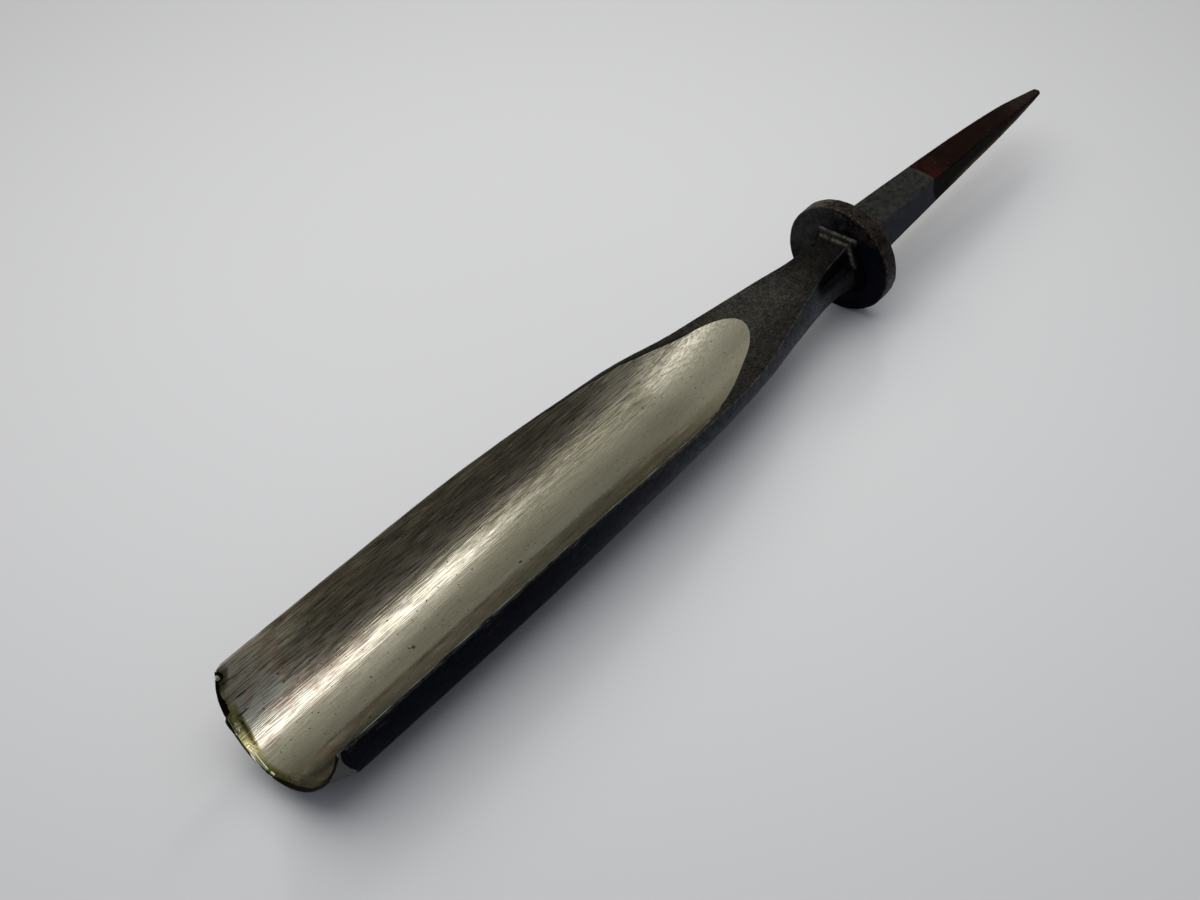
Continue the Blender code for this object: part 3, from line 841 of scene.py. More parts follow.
class Forging:
    """Sections of the gouge iron and the grinding that cuts them."""

    def __init__(self, sizes):
        self.sizes = sizes
        self.edge = sizes.places[0]
        self.shoulder = sizes.places[2]
        self.flare = sizes.places[-1]
        self.radius = sizes.trough_radius
        self.bevel_slope = math.tan(sizes.bevel_angle)
        self.axis_height = self.radius - sizes.trough_depths[0] - sizes.edge_bow * self.bevel_slope
        self.slope = (sizes.trough_depths[0] - sizes.trough_depths[1]) / (self.shoulder - self.edge)
        self.runout = self.find_runout()

    def blade_section(self, x):
        """Width, top, back, swell and squareness between the edge and the flare."""
        s = self.sizes
        width, top, back, swell = (
            smooth_through(s.places, values, x) for values in (s.widths, s.tops, s.backs, s.swells))
        square = smooth_through((self.edge, self.shoulder, s.places[5]), BLADE_SQUARE, x)
        return width, top, back, swell, square

    def pad_section(self, x):
        """Section between the flare and the pad's end."""
        share = np.clip((x - self.flare) / (self.sizes.pad_end - self.flare), 0.0, 1.0)
        first = self.blade_section(np.full_like(x, self.flare))
        return tuple(a + share * (b - a) for a, b in zip(first, (*self.sizes.pad, PAD_SQUARE)))

    def tang_section(self, x):
        """Section of the tang."""
        s = self.sizes
        knots = (self.flare + 0.0013, 0.5 * s.tang_length, 0.8 * s.tang_length, s.tang_length)
        width, top, back = (smooth_through(knots, v, x) for v in (s.tang_widths, s.tang_tops, s.tang_backs))
        return width, top, back, np.zeros_like(x), np.full_like(x, TANG_SQUARE)

    def trough_floor(self, x):
        """Height of the trough's floor: a straight rise, then the wheel's curve."""
        past = x - self.shoulder
        curve = np.maximum(past, 0.0) ** 2 / (2.0 * self.sizes.wheel_radius)
        return -self.sizes.trough_depths[1] + self.slope * past + curve

    def trough_rim(self, x, top):
        """Height of the floor, at most the top's, and the turn at which the trough's wall meets the top."""
        floor = np.minimum(self.trough_floor(x), top)
        return floor, np.arccos(np.clip(1.0 - (top - floor) / self.radius, -1.0, 1.0))

    def find_runout(self):
        """Where the trough's floor comes up through the flat top."""
        places = np.linspace(self.shoulder, self.flare, 4000)
        gone = self.trough_floor(places) > self.blade_section(places)[1]
        return float(places[np.argmax(gone)])

    def drift(self, x):
        """Sideways drift of the trough as it runs out."""
        past = np.clip(x, self.shoulder, self.runout) - self.shoulder
        drift = self.sizes.runout_drift * past ** 2 / (past + DRIFT_EASE) / DRIFT_UNIT
        return drift * (1.0 - smooth_step(self.runout, self.flare, x))

    def ease(self, x):
        """Rounding of the upper ridges."""
        s = self.sizes
        blade = s.rim_ease + (s.shank_ease - s.rim_ease) * smooth_step(self.shoulder, s.places[4], x)
        return blade + (s.tang_ease - blade) * smooth_step(s.pad_end, 0.004, x)

    def ring(self, x, section):
        """Across and up of every column, each at its own place along the tool."""
        forged = section(x)
        width, top, back = forged[:3]
        ease = self.ease(x)
        lip = ease / (top + back)
        flat = 0.5 * width - ease
        floor, rim = self.trough_rim(x, top)
        drift = self.drift(x)
        across = np.empty(RING_COLUMNS)
        up = top.copy()
        part = slice(0, LEFT_EASE)
        turn = lip[part] + (math.pi - 2.0 * lip[part]) * np.linspace(0.0, 1.0, BACK_STEPS + 1)
        across[part], up[part] = back_point(turn, *(v[part] for v in forged))
        for side, start, stop in ((1.0, LEFT_EASE, LEFT_FLAT), (-1.0, RIGHT_EASE, RING_COLUMNS)):
            part = slice(start, stop)
            share = np.arange(1, stop - start + 1) / EASE_STEPS
            share = share if side > 0.0 else 1.0 - share
            y, z = back_point(lip[part], *(v[part] for v in forged))
            wall, corner, level = (1.0 - share) ** 2, 2.0 * share * (1.0 - share), share ** 2
            across[part] = side * (wall * -y + corner * 0.5 * width[part] + level * flat[part])
            up[part] = wall * z + (corner + level) * top[part]
        share = np.arange(1, FLAT_STEPS + 1) / FLAT_STEPS
        part = slice(LEFT_FLAT, TROUGH)
        across[part] = flat[part] + (self.radius * np.sin(rim[part]) + drift[part] - flat[part]) * share
        part = slice(TROUGH, RIGHT_FLAT)
        turn = rim[part] * TROUGH_SHARES
        across[part] = self.radius * np.sin(turn) + drift[part]
        up[part] = floor[part] + self.radius * (1.0 - np.cos(turn))
        part = slice(RIGHT_FLAT, RIGHT_EASE)
        start = -self.radius * np.sin(rim[part]) + drift[part]
        across[part] = start + (-flat[part] - start) * share
        return across, up

    def inset(self, x, across):
        """How far each column lies inside the trough's rim, along its wall; negative on the flats."""
        rim = self.trough_rim(x, self.blade_section(x)[1])[1]
        inside = self.radius * np.sin(rim) - np.abs(across - self.drift(x))
        part = slice(TROUGH, RIGHT_FLAT)
        inside[part] = self.radius * rim[part] * (1.0 - np.abs(TROUGH_SHARES))
        return inside

    def set_back(self, point):
        """A point of the blade moved back where the cutting edge rounds into its corners."""
        x, y, z = point
        turn = math.degrees(math.atan2(y, self.axis_height - z))
        near = 1.0 - smooth_step(0.0, 0.012, x - self.edge)
        left = self.sizes.corners[0] * smooth_step(68.0, 92.0, turn)
        right = self.sizes.corners[1] * smooth_step(52.0, 92.0, -turn)
        return x + near * (left + right), y, z

    def cone(self, x):
        """Radius of the bevel's cone."""
        return self.radius + (x - self.edge) * self.bevel_slope

    def fronts(self):
        """Where each column meets the bevel's cone."""
        low = np.full(RING_COLUMNS, self.edge - self.sizes.edge_bow - 0.004)
        high = np.full(RING_COLUMNS, self.edge + 0.02)
        for _ in range(HALVINGS):
            middle = 0.5 * (low + high)
            across, up = self.ring(middle, self.blade_section)
            outside = np.hypot(across, up - self.axis_height) > self.cone(middle)
            low = np.where(outside, middle, low)
            high = np.where(outside, high, middle)
        return 0.5 * (low + high)

    def edge_place(self, turn):
        """Place of the cutting edge at a turn from straight down."""
        return self.edge - self.sizes.edge_bow * math.cos(turn)

    def trough_point(self, x, turn):
        """Point on the trough's wall."""
        middle = self.trough_floor(x) + self.radius
        return np.array((x, self.radius * math.sin(turn), middle - self.radius * math.cos(turn)))

    def bevel_point(self, x, turn):
        """Point on the bevel's cone."""
        return np.array((x, self.cone(x) * math.sin(turn), self.axis_height - self.cone(x) * math.cos(turn)))


class Sheet:
    """Points, faces and painted masks of a mesh that is being laid out."""

    def __init__(self):
        self.points = []
        self.faces = []
        self.slots = []
        self.masks = {}

    def add_points(self, points, **masks):
        """Add points with their masks and return their numbers."""
        first = len(self.points)
        self.points.extend(tuple(float(c) for c in p) for p in points)
        count = len(self.points) - first
        for name, values in masks.items():
            store = self.masks.setdefault(name, {})
            spread = np.broadcast_to(values, count)
            store.update({first + i: float(v) for i, v in enumerate(spread) if v})
        return np.arange(first, len(self.points))

    def add_face(self, corners, slot):
        """Add a face, leaving out corners that fall together."""
        kept = [c for i, c in enumerate(corners) if c != corners[i - 1]]
        if len(set(kept)) == len(kept) > 2:
            self.faces.append(kept)
            self.slots.append(int(slot))

    def bridge(self, rows, slots=0, closed=True):
        """Faces between rows of points that follow one another, with one slot or one for each column."""
        count = len(rows[0])
        slots = np.broadcast_to(slots, count)
        for first, second in zip(rows, rows[1:]):
            for i in range(count if closed else count - 1):
                j = (i + 1) % count
                self.add_face((first[i], first[j], second[j], second[i]), slots[i])

    def object(self, name, materials, sharp):
        """The finished object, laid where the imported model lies."""
        used = sorted({c for face in self.faces for c in face})
        renumber = {c: i for i, c in enumerate(used)}
        mesh = bpy.data.meshes.new(name)
        mesh.from_pydata([self.points[c] for c in used], [], [[renumber[c] for c in f] for f in self.faces])
        for material in materials:
            mesh.materials.append(material)
        mesh.polygons.foreach_set("material_index", self.slots)
        for mask, values in self.masks.items():
            layer = mesh.attributes.new(mask, "FLOAT", "POINT")
            layer.data.foreach_set("value", [values.get(c, 0.0) for c in used])
        builder = bmesh.new()
        builder.from_mesh(mesh)
        bmesh.ops.recalc_face_normals(builder, faces=builder.faces[:])
        builder.to_mesh(mesh)
        builder.free()
        mesh.shade_smooth()
        mesh.set_sharp_from_angle(angle=math.radians(sharp))
        item = new_object(name, mesh)
        item.matrix_world = rest_matrix()
        return item


def push(item, amount):
    """Move each point along its normal by what amount gives for it."""
    mesh = item.data
    moved = []
    for vertex in mesh.vertices:
        moved.extend(vertex.co + float(amount(vertex.index, vertex.co)) * vertex.normal)
    mesh.vertices.foreach_set("co", moved)
    mesh.update()


def pad_bars(forging, x, across, up):
    """Rubbed bars, also painted lighter as highlights, where the pad meets the neck, over its top and down
    its right side, and at its top end.
    """
    right, top = smooth_step(0.0004, 0.0022, up), smooth_step(0.0046, 0.0052, up)
    first = hump(x, forging.flare, BAR_WIDTH) * np.where(across < BAR_SIDE, right, top)
    last = hump(x, forging.sizes.pad_end - BAR_WIDTH, BAR_WIDTH) * smooth_step(0.0053, 0.0058, up)
    return np.maximum(first, last)


def blade_places(forging):
    """Places of the blade's rings, close together at the edge, the run-out and the flare."""
    nearing = forging.runout - 0.004 * np.linspace(1.0, 0.0, 11) ** 2
    return np.concatenate([
        forging.edge + 0.0005 * np.array((0.0, 0.5, 1.0)),
        np.linspace(forging.edge + 0.0012, forging.shoulder, 100),
        np.linspace(forging.shoulder, nearing[0], 42)[1:],
        nearing[1:],
        np.linspace(forging.runout, forging.flare - 0.0008, 44)[1:],
        np.linspace(forging.flare - 0.0006, forging.flare, 5)])


def lay_iron(sizes, forging):
    """Sheet of the whole iron: blade, bevel, shank, pad and tang."""
    sheet = Sheet()
    fronts = forging.fronts()
    eased = (COLUMNS >= LEFT_EASE - 1) & (COLUMNS < LEFT_FLAT - 1)
    eased |= (COLUMNS >= RIGHT_EASE) | (COLUMNS == 0)
    blade = blade_places(forging)
    pad = np.linspace(forging.flare, sizes.pad_end - PAD_GAP, 14)[1:]
    tang = np.linspace(0.0, sizes.tang_length - TIP_ROUND, 74)[1:]
    rings = []
    for x in blade:
        near = 1.0 - smooth_step(0.0, 0.03, x - forging.edge)
        rings.append((x + near * (fronts - forging.edge), forging.blade_section))
    rings += [(np.full(RING_COLUMNS, x), forging.pad_section) for x in pad]
    root = len(rings)
    for x in (*np.linspace(sizes.pad_end, 0.0, 4), *tang):
        rings.append((np.full(RING_COLUMNS, x), forging.tang_section))
    loops = []
    for number, (x, section) in enumerate(rings):
        across, up = forging.ring(x, section)
        place = float(np.mean(x))
        # Rubbed ridges, and below them the pad's bars, which are also painted highlights.
        wear = 0.55 * eased * (place < forging.flare - 0.0005 or number >= root)
        if number < root:
            wear = np.maximum(wear, pad_bars(forging, x, across, up))
        points = np.column_stack((x, across, up))
        if place < forging.shoulder:
            points = [forging.set_back(p) for p in points]
        loop = sheet.add_points(
            points, wear=wear, outside=COLUMNS <= BACK_STEPS, inset=forging.inset(x, across))
        if place >= forging.runout - 1e-9:
            loop[TROUGH:RIGHT_FLAT] = loop[LEFT_RIM]
        loops.append(loop)
    close_tip(sheet, loops, rings[-1][0], forging)
    flats = np.where((COLUMNS >= LEFT_FLAT - 1) & (COLUMNS < RIGHT_EASE - 1), GROUND, SKIN)
    trough = np.where((COLUMNS >= LEFT_RIM) & (COLUMNS < RIGHT_RIM), GROUND, SKIN)
    rimmed = int(np.searchsorted(blade, RIM_END))
    sheet.bridge(loops[:rimmed + 1], flats)
    sheet.bridge(loops[rimmed:root + 1], trough)
    sheet.bridge(loops[root:], TANG)
    lay_bevel(sheet, loops[0], fronts, forging)
    return sheet


def close_tip(sheet, loops, x, forging):
    """Round the tang's tip over a last few rings and close it."""
    across, up = forging.ring(x, forging.tang_section)
    middle = 0.5 * (up.max() + up.min())
    for share in (0.35, 0.65, 0.88, 1.0):
        inset = 1.0 - 0.62 * (1.0 - math.sqrt(1.0 - share * share))
        points = np.column_stack((x + TIP_ROUND * share, across * inset, middle + (up - middle) * inset))
        loop = sheet.add_points(points, wear=0.4)
        loop[TROUGH:RIGHT_FLAT] = loop[LEFT_RIM]
        loops.append(loop)
    tip = sheet.add_points([(x[0] + 1.1 * TIP_ROUND, 0.0, middle)])
    loops.append(np.repeat(tip, RING_COLUMNS))


def lay_bevel(sheet, front, fronts, forging):
    """Grid of the conical bevel between the cutting edge and the forged back."""
    points = np.column_stack((fronts, *forging.ring(fronts, forging.blade_section)))
    rows = np.arange(BEVEL_ROWS + 1)
    grid = np.empty((BEVEL_ROWS + 1, BACK_STEPS + 1), dtype=int)
    grid[:, 0] = front[(RIGHT_RIM + rows) % RING_COLUMNS]
    grid[:, -1] = front[LEFT_RIM - rows]
    heights = sheet.masks.setdefault("bevel", {})
    for column in range(1, BACK_STEPS):
        grid[0, column] = front[RIGHT_RIM - column]
        grid[-1, column] = front[column]
        start, stop = points[RIGHT_RIM - column], points[column]
        for row in range(1, BEVEL_ROWS):
            share = row / BEVEL_ROWS
            x, y, z = start + share * (stop - start)
            point = forging.bevel_point(x, math.atan2(y, forging.axis_height - z))
            grid[row, column] = sheet.add_points([forging.set_back(point)], bevel=share)[0]
        heights[int(front[column])] = 1.0
    for row in rows:
        for end in (0, -1):
            heights[int(grid[row, end])] = row / BEVEL_ROWS
    sheet.bridge(grid, BEVEL, closed=False)


def build_iron(sizes):
    """The iron with its skin's relief, the hollow beside its neck and the pad's bars."""
    forging = Forging(sizes)
    looks = [finish(build, sizes) for build in (forging_skin, ground_trough, ground_bevel, tang_scale)]
    iron = lay_iron(sizes, forging).object("gouge_iron_forging", looks, sharp=38.0)
    ground = np.zeros(len(iron.data.vertices))
    for face in iron.data.polygons:
        if face.material_index in (GROUND, BEVEL):
            ground[list(face.vertices)] = 1.0

    def amount(index, co):
        """Relief of the skin, and the faint waves of the grinding."""
        ease = smooth_step(forging.edge - 0.003, forging.edge + 0.01, co.x)
        if ground[index]:
            return WAVE_HEIGHT * wander((co.x * 0.08, co.y, co.z), 3.1, 0.0016) * ease
        uneven = 0.6 * wander(co, 1.0, 0.0065) + 0.4 * wander(co, 5.0, 0.0019) - 0.3
        hollow = window(-0.018, -0.014, -0.0068, -0.0052, co.x) * hump(co.z, 0.0025, 0.0012)
        hollow *= abs(co.y) > 0.002
        near = forging.flare - 0.0008 < co.x < sizes.pad_end
        bar = pad_bars(forging, co.x, co.y, co.z) if near else 0.0
        return sizes.scale_relief * uneven * ease - HOLLOW_DEPTH * hollow + BAR_HEIGHT * bar

    push(iron, amount)
    return iron


def tang_hole(forging, turns, gap):
    """Radius of the tang's outline at the collar, seen along the tool, at turns from straight up."""
    place = np.array([forging.sizes.pad_end])
    width, top, back, _, square = (float(v[0]) for v in forging.tang_section(place))
    low = np.zeros_like(turns)
    high = np.full_like(turns, 0.02)
    for _ in range(HALVINGS):
        middle = 0.5 * (low + high)
        y = np.abs(middle * np.sin(turns)) / (0.5 * width)
        drop = (top - middle * np.cos(turns)) / (top + back)
        inside = (drop >= 0.0) & (y ** square + np.abs(drop) ** square <= 1.0)
        low = np.where(inside, middle, low)
        high = np.where(inside, high, middle)
    return low + gap


def collar_profile(sizes):
    """Rows of the collar's section: place, share of the way out, rounding, and masks of rim and edge."""
    front, corner = -sizes.thickness, sizes.corner
    bends = np.linspace(0.0, 0.5 * math.pi, 5)
    rows = [(front, share, 0.0, 0.0, 0.0) for share in np.linspace(0.0, 1.0, 20)]
    for bend in bends[1:]:
        rows.append((front + corner * (1.0 - math.cos(bend)), 1.0, corner * math.sin(bend), 0.6, 1.0))
    for share in np.linspace(0.0, 1.0, 9)[1:]:
        rows.append((front + corner + share * (sizes.thickness - 2.0 * corner), 1.0, corner, 1.0, 0.0))
    for bend in bends[-2::-1]:
        rows.append((-corner * (1.0 - math.cos(bend)), 1.0, corner * math.sin(bend), 0.6, 1.0))
    return rows + [(0.0, share, 0.0, 0.0, 0.0) for share in np.linspace(1.0, 0.0, 12)[1:]]


def lip_height(sizes, turns, reach):
    """Height of the lip by turn from straight up, toward +Y, and distance from the axis."""
    centred = np.where(turns > math.pi, turns - 2.0 * math.pi, turns)
    ragged = np.array([0.7 + 0.75 * wander((11.0 * t, 0.0, 0.0), 4.0) for t in centred])
    crest = hump(reach, LIP_REACH + LIP_WANDER * np.sin(7.0 * centred), LIP_WIDTH)
    return sizes.lip * window(-0.42, -0.16, 0.4, 0.75, centred) * np.maximum(ragged, 0.0) * crest


def build_collar(sizes, iron):
    """The collar: a disc with rounded edges, hammered rim and a ragged lip on the upper front."""
    turns = np.linspace(0.0, 2.0 * math.pi, COLLAR_STEPS, endpoint=False)
    hole = tang_hole(Forging(iron), turns, sizes.hole_gap)
    sheet = Sheet()
    loops = []
    for x, share, out, rim, edge in collar_profile(sizes):
        reach = hole + share * (sizes.radius - sizes.corner - hole) + out
        lip = lip_height(sizes, turns, reach) * (x < 1.1 * sizes.corner - sizes.thickness)
        points = np.column_stack((x - lip, reach * np.sin(turns), reach * np.cos(turns)))
        wear = np.clip(lip / sizes.lip, 0.0, 1.0) * (reach > 0.0094)
        loops.append(sheet.add_points(points, rim=rim, edge=edge, wear=wear))
    sheet.bridge([*loops, loops[0]])
    collar = sheet.object("bolster_collar_disc", [finish(collar_scale, sizes)], sharp=50.0)

    def amount(_, co):
        """Hammer marks and pitting, none inside the hole."""
        out = smooth_step(0.0062, 0.0085, math.hypot(co.y, co.z))
        pits = PIT_DEPTH * (wander(co, 6.0, 0.0012) - 0.8)
        return out * (HAMMER_HEIGHT * wander(co, 2.0, 0.0036) + pits)

    push(collar, amount)
    return collar


def film_reach(degrees):
    """How far the film reaches into the trough, as a share of the set reach: more on the left, ragged."""
    share = 0.92 + 0.42 * smooth_step(15.0, 40.0, degrees) + 0.7 * smooth_step(10.0, -25.0, degrees)
    share += 0.08 * wander((degrees / 7.0, 0.0, 0.0), 7.0)
    share += 0.05 * wander((degrees / 2.0, 0.0, 0.0), 8.0)
    return share - 0.16 * hump(degrees, 60.5, 3.0)


def fold_width(degrees):
    """How far the painted shade of the fold reaches up the trough: thin in front, wide in the crumpled left
    corner.
    """
    width = 0.0001 + 0.00036 * window(-80.0, -60.0, -18.0, 4.0, degrees)
    width += 0.00012 * window(34.0, 46.0, 51.0, 53.0, degrees)
    corner = smooth_step(54.5, 56.0, degrees) * (1.0 - 0.8 * smooth_step(62.0, 72.0, degrees))
    return width + 0.0006 * corner


def film_smear_and_shade(degrees, share):
    """Brown smearing along the film's inner border on the left, with painted shade on the right and below
    the blister in the left corner, by turn and by share of the reach.
    """
    left = window(18.0, 30.0, 46.0, 53.0, degrees) * hump(share, 0.74, 0.2)
    right = 0.75 * smooth_step(-12.0, -38.0, degrees) * (1.0 - smooth_step(0.25, 0.95, share))
    corner = window(70.0, 75.0, 82.0, 88.0, degrees) + 0.3 * window(46.0, 50.0, 54.0, 57.0, degrees)
    return min(1.0, left + right + 0.9 * corner * (1.0 - share ** 4))


def trough_rows(sizes, forging, turn, radial):
    """Film up the trough, from its thin border to the edge: near and far points, depth, fade, and the share
    of smearing and painted shade.
    """
    degrees = math.degrees(turn)
    edge = forging.edge_place(turn)
    reach = sizes.inner_reach * film_reach(degrees)
    crumpled = CRUMPLE_HEIGHT * window(30.0, 48.0, 84.0, 87.0, degrees)
    corner = smooth_step(55.0, 60.0, degrees)
    clear = 1.0 - smooth_step(18.0, 28.0, degrees) + corner
    start = 0.35 - 0.25 * (smooth_step(10.0, -20.0, degrees) + corner)
    rows = []
    for row in range(FILM_LEG):
        share = 1.0 - row / FILM_LEG
        base = forging.trough_point(edge + reach * share, turn)
        bulge = 1.0 + wander((degrees / 2.6, 1500.0 * reach * share, 0.0), 15.0)
        lift = sizes.gap * (1.0 - 0.7 * share) + crumpled * (1.0 - share ** 3) * bulge
        ring = math.dist(base, BLISTER) / BLISTER_RADIUS
        lift += BLISTER_HEIGHT * math.sqrt(max(1.0 - ring * ring, 0.0))
        top = lift + sizes.thickness * (1.0 - share ** 2) + FILM_BORDER
        fade = smooth_step(start, 0.95, share) * (0.35 + 0.65 * clear)
        smear = film_smear_and_shade(degrees, share)
        rows.append((base - radial * lift, base - radial * top, reach * share, fade, smear))
    return rows


def fold_rows(sizes, forging, turn, radial):
    """Film round the edge, which bags in front of it and is torn near the left corner."""
    degrees = math.degrees(turn)
    torn = 1.2 * hump(degrees, 54.5, 1.1) + 0.4 * window(55.0, 57.0, 71.0, 73.0, degrees)
    uneven = 0.08 * wander((degrees / 5.0, 4.0, 0.0), 11.0)
    nose = sizes.nose * (1.0 - 0.55 * min(torn, 1.0) + uneven)
    nose += TOOTH_REACH * window(41.0, 50.0, 52.2, 53.4, degrees)
    dark = 1.0 - smooth_step(55.0, 57.0, degrees) - smooth_step(4.0, -8.0, degrees)
    tip = forging.trough_point(forging.edge_place(turn), turn)
    rows = []
    for bend in np.linspace(-0.5 * math.pi, 0.5 * math.pi, FILM_ARC):
        front, aside = math.cos(bend), math.sin(bend)
        direction = np.array((-front, 0.0, 0.0)) + aside * radial * FOLD_SHAPE
        hollow = sizes.gap + (nose - sizes.thickness - sizes.gap) * front
        top = hollow + sizes.thickness * (1.0 + 0.35 * (1.0 - front))
        depth = 0.0004 * (0.45 - aside) * dark if aside < 0.45 else -0.0002
        rows.append((tip + direction * max(hollow, sizes.gap), tip + direction * top, depth, 0.0, 0.0))
    return rows


def bevel_rows(sizes, forging, turn, radial):
    """Film over the bevel, thinner at its end."""
    slope = forging.sizes.bevel_angle
    outward = math.cos(slope) * radial - np.array((math.sin(slope), 0.0, 0.0))
    reach = sizes.outer_reach * (0.45 + 0.55 * math.cos(turn))
    reach *= 1.0 + 0.15 * wander((math.degrees(turn) / 8.0, 1.0, 0.0), 9.0)
    rows = []
    for row in range(1, FILM_TAIL + 1):
        out = reach * row / FILM_TAIL
        base = forging.bevel_point(forging.edge_place(turn) + out, turn)
        top = sizes.gap + sizes.thickness * (0.55 if row == FILM_TAIL else 1.0)
        rows.append((base + outward * sizes.gap, base + outward * top, 0.00015 + out, 0.0, 0.0))
    return rows


def build_film(sizes, iron):
    """The film: a thin skin folded over the edge, torn and blistered at the left corner."""
    forging = Forging(iron)
    sheet = Sheet()
    loops = []
    for step in range(FILM_STEPS + 1):
        turn = sizes.spread * (2.0 * step / FILM_STEPS - 1.0)
        radial = np.array((0.0, math.sin(turn), -math.cos(turn)))
        rows = []
        for leg in (trough_rows, fold_rows, bevel_rows):
            rows += leg(sizes, forging, turn, radial)
        near, far, depth, fade, smear = zip(*rows)
        points = [forging.set_back(p) for p in (*far, *near[::-1])]
        loops.append(sheet.add_points(
            points, turn=turn, fold=fold_width(math.degrees(turn)), depth=depth + depth[::-1],
            fade=fade + fade[::-1], smear=smear + smear[::-1]))
    sheet.bridge(loops)
    half = len(loops[0]) // 2
    for loop in (loops[0], loops[-1]):
        sheet.bridge([loop[:half], loop[:half - 1:-1]], closed=False)
    return sheet.object("edge_film_skin", [finish(amber_film, sizes)], sharp=60.0)


def attach(piece, body, node):
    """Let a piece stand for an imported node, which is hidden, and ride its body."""
    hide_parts(node)
    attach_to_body(piece, body)


def lay_floor(stage):
    """Wide plain floor just under the tool."""
    half = 0.5 * stage.floor_size
    mesh = bpy.data.meshes.new("bench_floor")
    corners = [(-half, -half), (half, -half), (half, half), (-half, half)]
    mesh.from_pydata([(x, y, -FLOOR_DROP) for x, y in corners], [], [(0, 1, 2, 3)])
    mesh.materials.append(finish(bench_floor, stage))
    floor = new_object("bench_floor", mesh)


def hang_light(name, place, size, watts, tint):
    """Soft round light aimed at the blade, which gloss doesn't mirror."""
    light = bpy.data.lights.new(name, "AREA")
    light.energy = watts
    light.color = tint
    light.shape = "DISK"
    light.size = size
    item = new_object(name, light)
    item.location = place
    item.rotation_euler = (Vector(LIGHT_AIM) - Vector(place)).to_track_quat("-Z", "Y").to_euler()
    item.visible_glossy = False
    item.visible_transmission = False


def light_room(stage):
    """World light: soft on matte surfaces, a mirrored room with a lamp for gloss, pale to the camera."""
    world = bpy.data.worlds.new("bench_room")
    world.use_nodes = True
    bpy.context.scene.world = world
    nodes = Nodes(world.node_tree)
    x, y, z = nodes.parts(nodes.add("ShaderNodeTexCoord", {}, {}, "Generated"))
    lean = y.maths("ARCTAN2", y, z.most(0.0)) / math.pi + 0.5
    slant = x / z.most(0.05)
    soft, gleam, lamp = (
        nodes.add("ShaderNodeValToRGB", {"stops": stops}, {0: lean})
        for stops in (ROOM_LEVELS, GLEAM_LEVELS, LAMP_LEVELS))
    lamp = lamp * LAMP_LEVEL * (slant + 0.4 * (lean - 0.4)).rise(*LAMP_FAR)
    lamp = lamp * (0.18 + 0.82 * slant.rise(*LAMP_NEAR))
    lamp = lamp * (1.0 - 0.55 * lean.rise(0.42, 0.47) * slant.rise(0.38, 0.26))
    lamp = lamp * (1.0 + 0.75 * lean.rise(0.385, 0.32) * slant.rise(0.33, 0.41))
    glow = nodes.add("ShaderNodeMix", {"data_type": "RGBA", "blend_type": "ADD"}, {
        0: 1.0, 6: nodes.brighten(stage.gleam_tint, gleam), 7: nodes.brighten(stage.lamp_tint, lamp)}, 2)
    lights = (
        (nodes.brighten(stage.room_tint, soft), ROOM_LEVEL), (glow, 1.0), (stage.floor, BACKDROP_LEVEL))
    room, mirrored, pale = (
        nodes.add("ShaderNodeBackground", {}, {"Color": tint, "Strength": level}) for tint, level in lights)
    seen = nodes.add("ShaderNodeLightPath", {}, {}, "Is Camera Ray")
    gloss = seen.also("Is Glossy Ray").most(seen.also("Is Transmission Ray"))
    lit = nodes.cover(room, mirrored, gloss)
    nodes.add("ShaderNodeOutputWorld", {}, {"Surface": nodes.cover(lit, pale, seen)})


def stand_camera(stage):
    """Camera where the photograph was taken."""
    camera = bpy.data.cameras.new("camera")
    camera.lens = stage.lens
    camera.sensor_width = SENSOR_WIDTH
    camera.clip_start = CLIP_START
    item = new_object("camera", camera)
    item.location = stage.camera_place
    item.rotation_euler = Euler(stage.camera_turn, "XYZ")
    bpy.context.scene.camera = item


class GOUGE_OT_forge_iron(bpy.types.Operator):
    """Forge and grind the iron, from the cutting edge to the tang's tip"""

    bl_idname = "gouge.forge_iron"
    bl_label = "Forge iron"

    def execute(self, context):
        iron = build_iron(context.scene.gouge_iron)
        attach(iron, "iron", "gouge_iron")
        return {"FINISHED"}


class GOUGE_OT_fit_collar(bpy.types.Operator):
    """Fit the bolster collar between pad and tang"""

    bl_idname = "gouge.fit_collar"
    bl_label = "Fit collar"

    def execute(self, context):
        collar = build_collar(context.scene.gouge_collar, context.scene.gouge_iron)
        attach(collar, "iron", "bolster_collar")
        return {"FINISHED"}


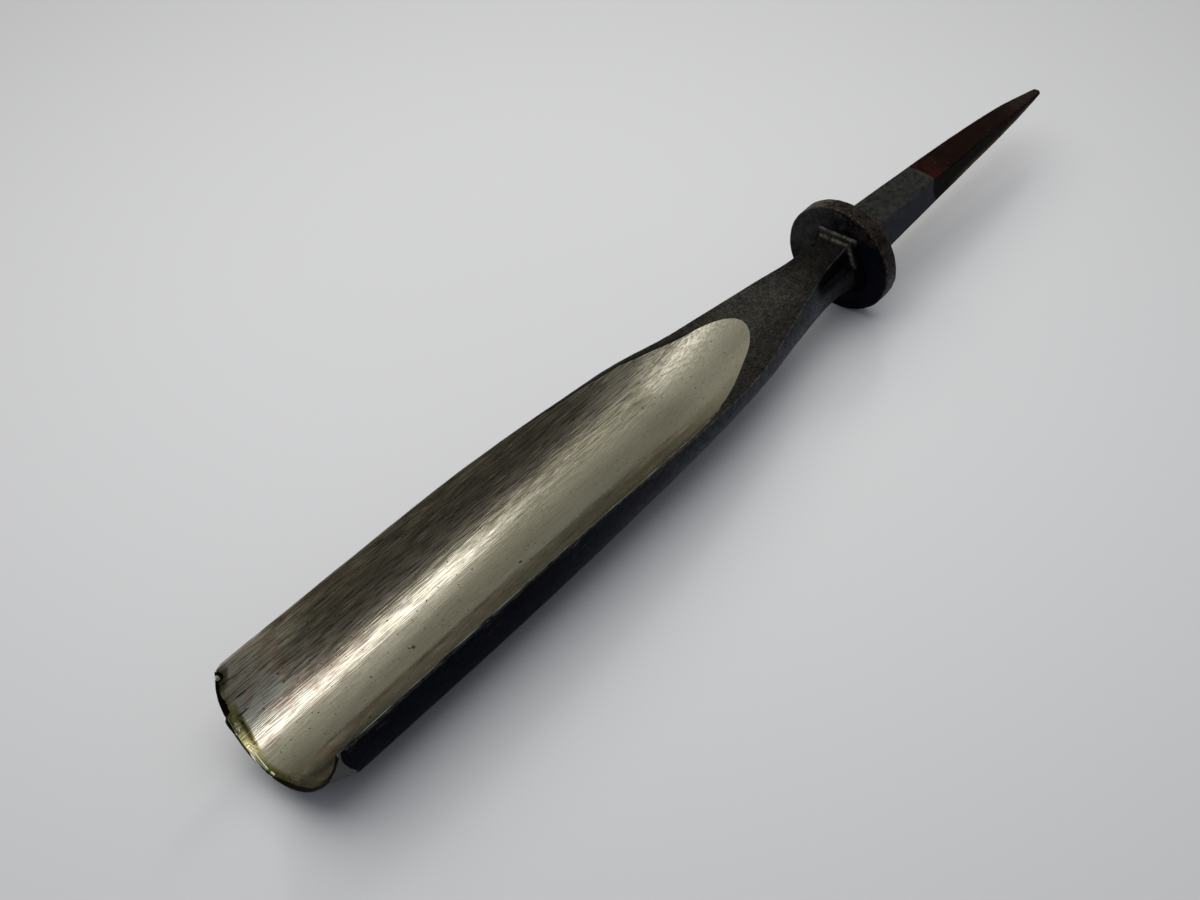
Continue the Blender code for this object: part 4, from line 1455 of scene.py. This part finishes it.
class GOUGE_OT_dip_film(bpy.types.Operator):
    """Dip the cutting edge in its strippable film"""

    bl_idname = "gouge.dip_film"
    bl_label = "Dip film"

    def execute(self, context):
        film = build_film(context.scene.gouge_film, context.scene.gouge_iron)
        attach(film, "film", "edge_film")
        return {"FINISHED"}


class GOUGE_OT_set_stage(bpy.types.Operator):
    """Set the floor, the lights and the camera"""

    bl_idname = "gouge.set_stage"
    bl_label = "Set stage"

    def execute(self, context):
        stage = context.scene.gouge_stage
        lay_floor(stage)
        hang_light("key_light", stage.key_place, stage.key_size, stage.key_power, stage.key_tint)
        hang_light("side_light", stage.side_place, stage.side_size, stage.side_power, stage.key_tint)
        light_room(stage)
        stand_camera(stage)
        context.scene.view_settings.view_transform = "Standard"
        return {"FINISHED"}


class GOUGE_PT_panel(bpy.types.Panel):
    """Sizes, colours and steps of the gouge"""

    bl_idname = "GOUGE_PT_panel"
    bl_label = "Straight gouge"
    bl_space_type = "VIEW_3D"
    bl_region_type = "UI"
    bl_category = "Gouge"

    def draw(self, context):
        for settings, _, operator in STEPS:
            box = self.layout.box()
            box.operator(operator.bl_idname)
            group = getattr(context.scene, settings)
            for name in group.bl_rna.properties.keys():
                if name not in ("rna_type", "name"):
                    box.prop(group, name)


STEPS = (
    ("gouge_iron", IronSettings, GOUGE_OT_forge_iron),
    ("gouge_collar", CollarSettings, GOUGE_OT_fit_collar),
    ("gouge_film", FilmSettings, GOUGE_OT_dip_film),
    ("gouge_stage", StageSettings, GOUGE_OT_set_stage),
)
CLASSES = (*(item for step in STEPS for item in step[1:]), GOUGE_PT_panel)


def register():
    """Register the classes and hang the settings on the scene."""
    for item in CLASSES:
        bpy.utils.register_class(item)
    for name, group, _ in STEPS:
        setattr(bpy.types.Scene, name, PointerProperty(type=group))


def unregister():
    """Take the settings off the scene and unregister the classes."""
    for name, _, _ in STEPS:
        delattr(bpy.types.Scene, name)
    for item in reversed(CLASSES):
        bpy.utils.unregister_class(item)


def main():
    """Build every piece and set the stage."""
    register()
    bpy.ops.gouge.forge_iron()
    bpy.ops.gouge.fit_collar()
    bpy.ops.gouge.dip_film()
    bpy.ops.gouge.set_stage()


if __name__ == "__main__":
    main()
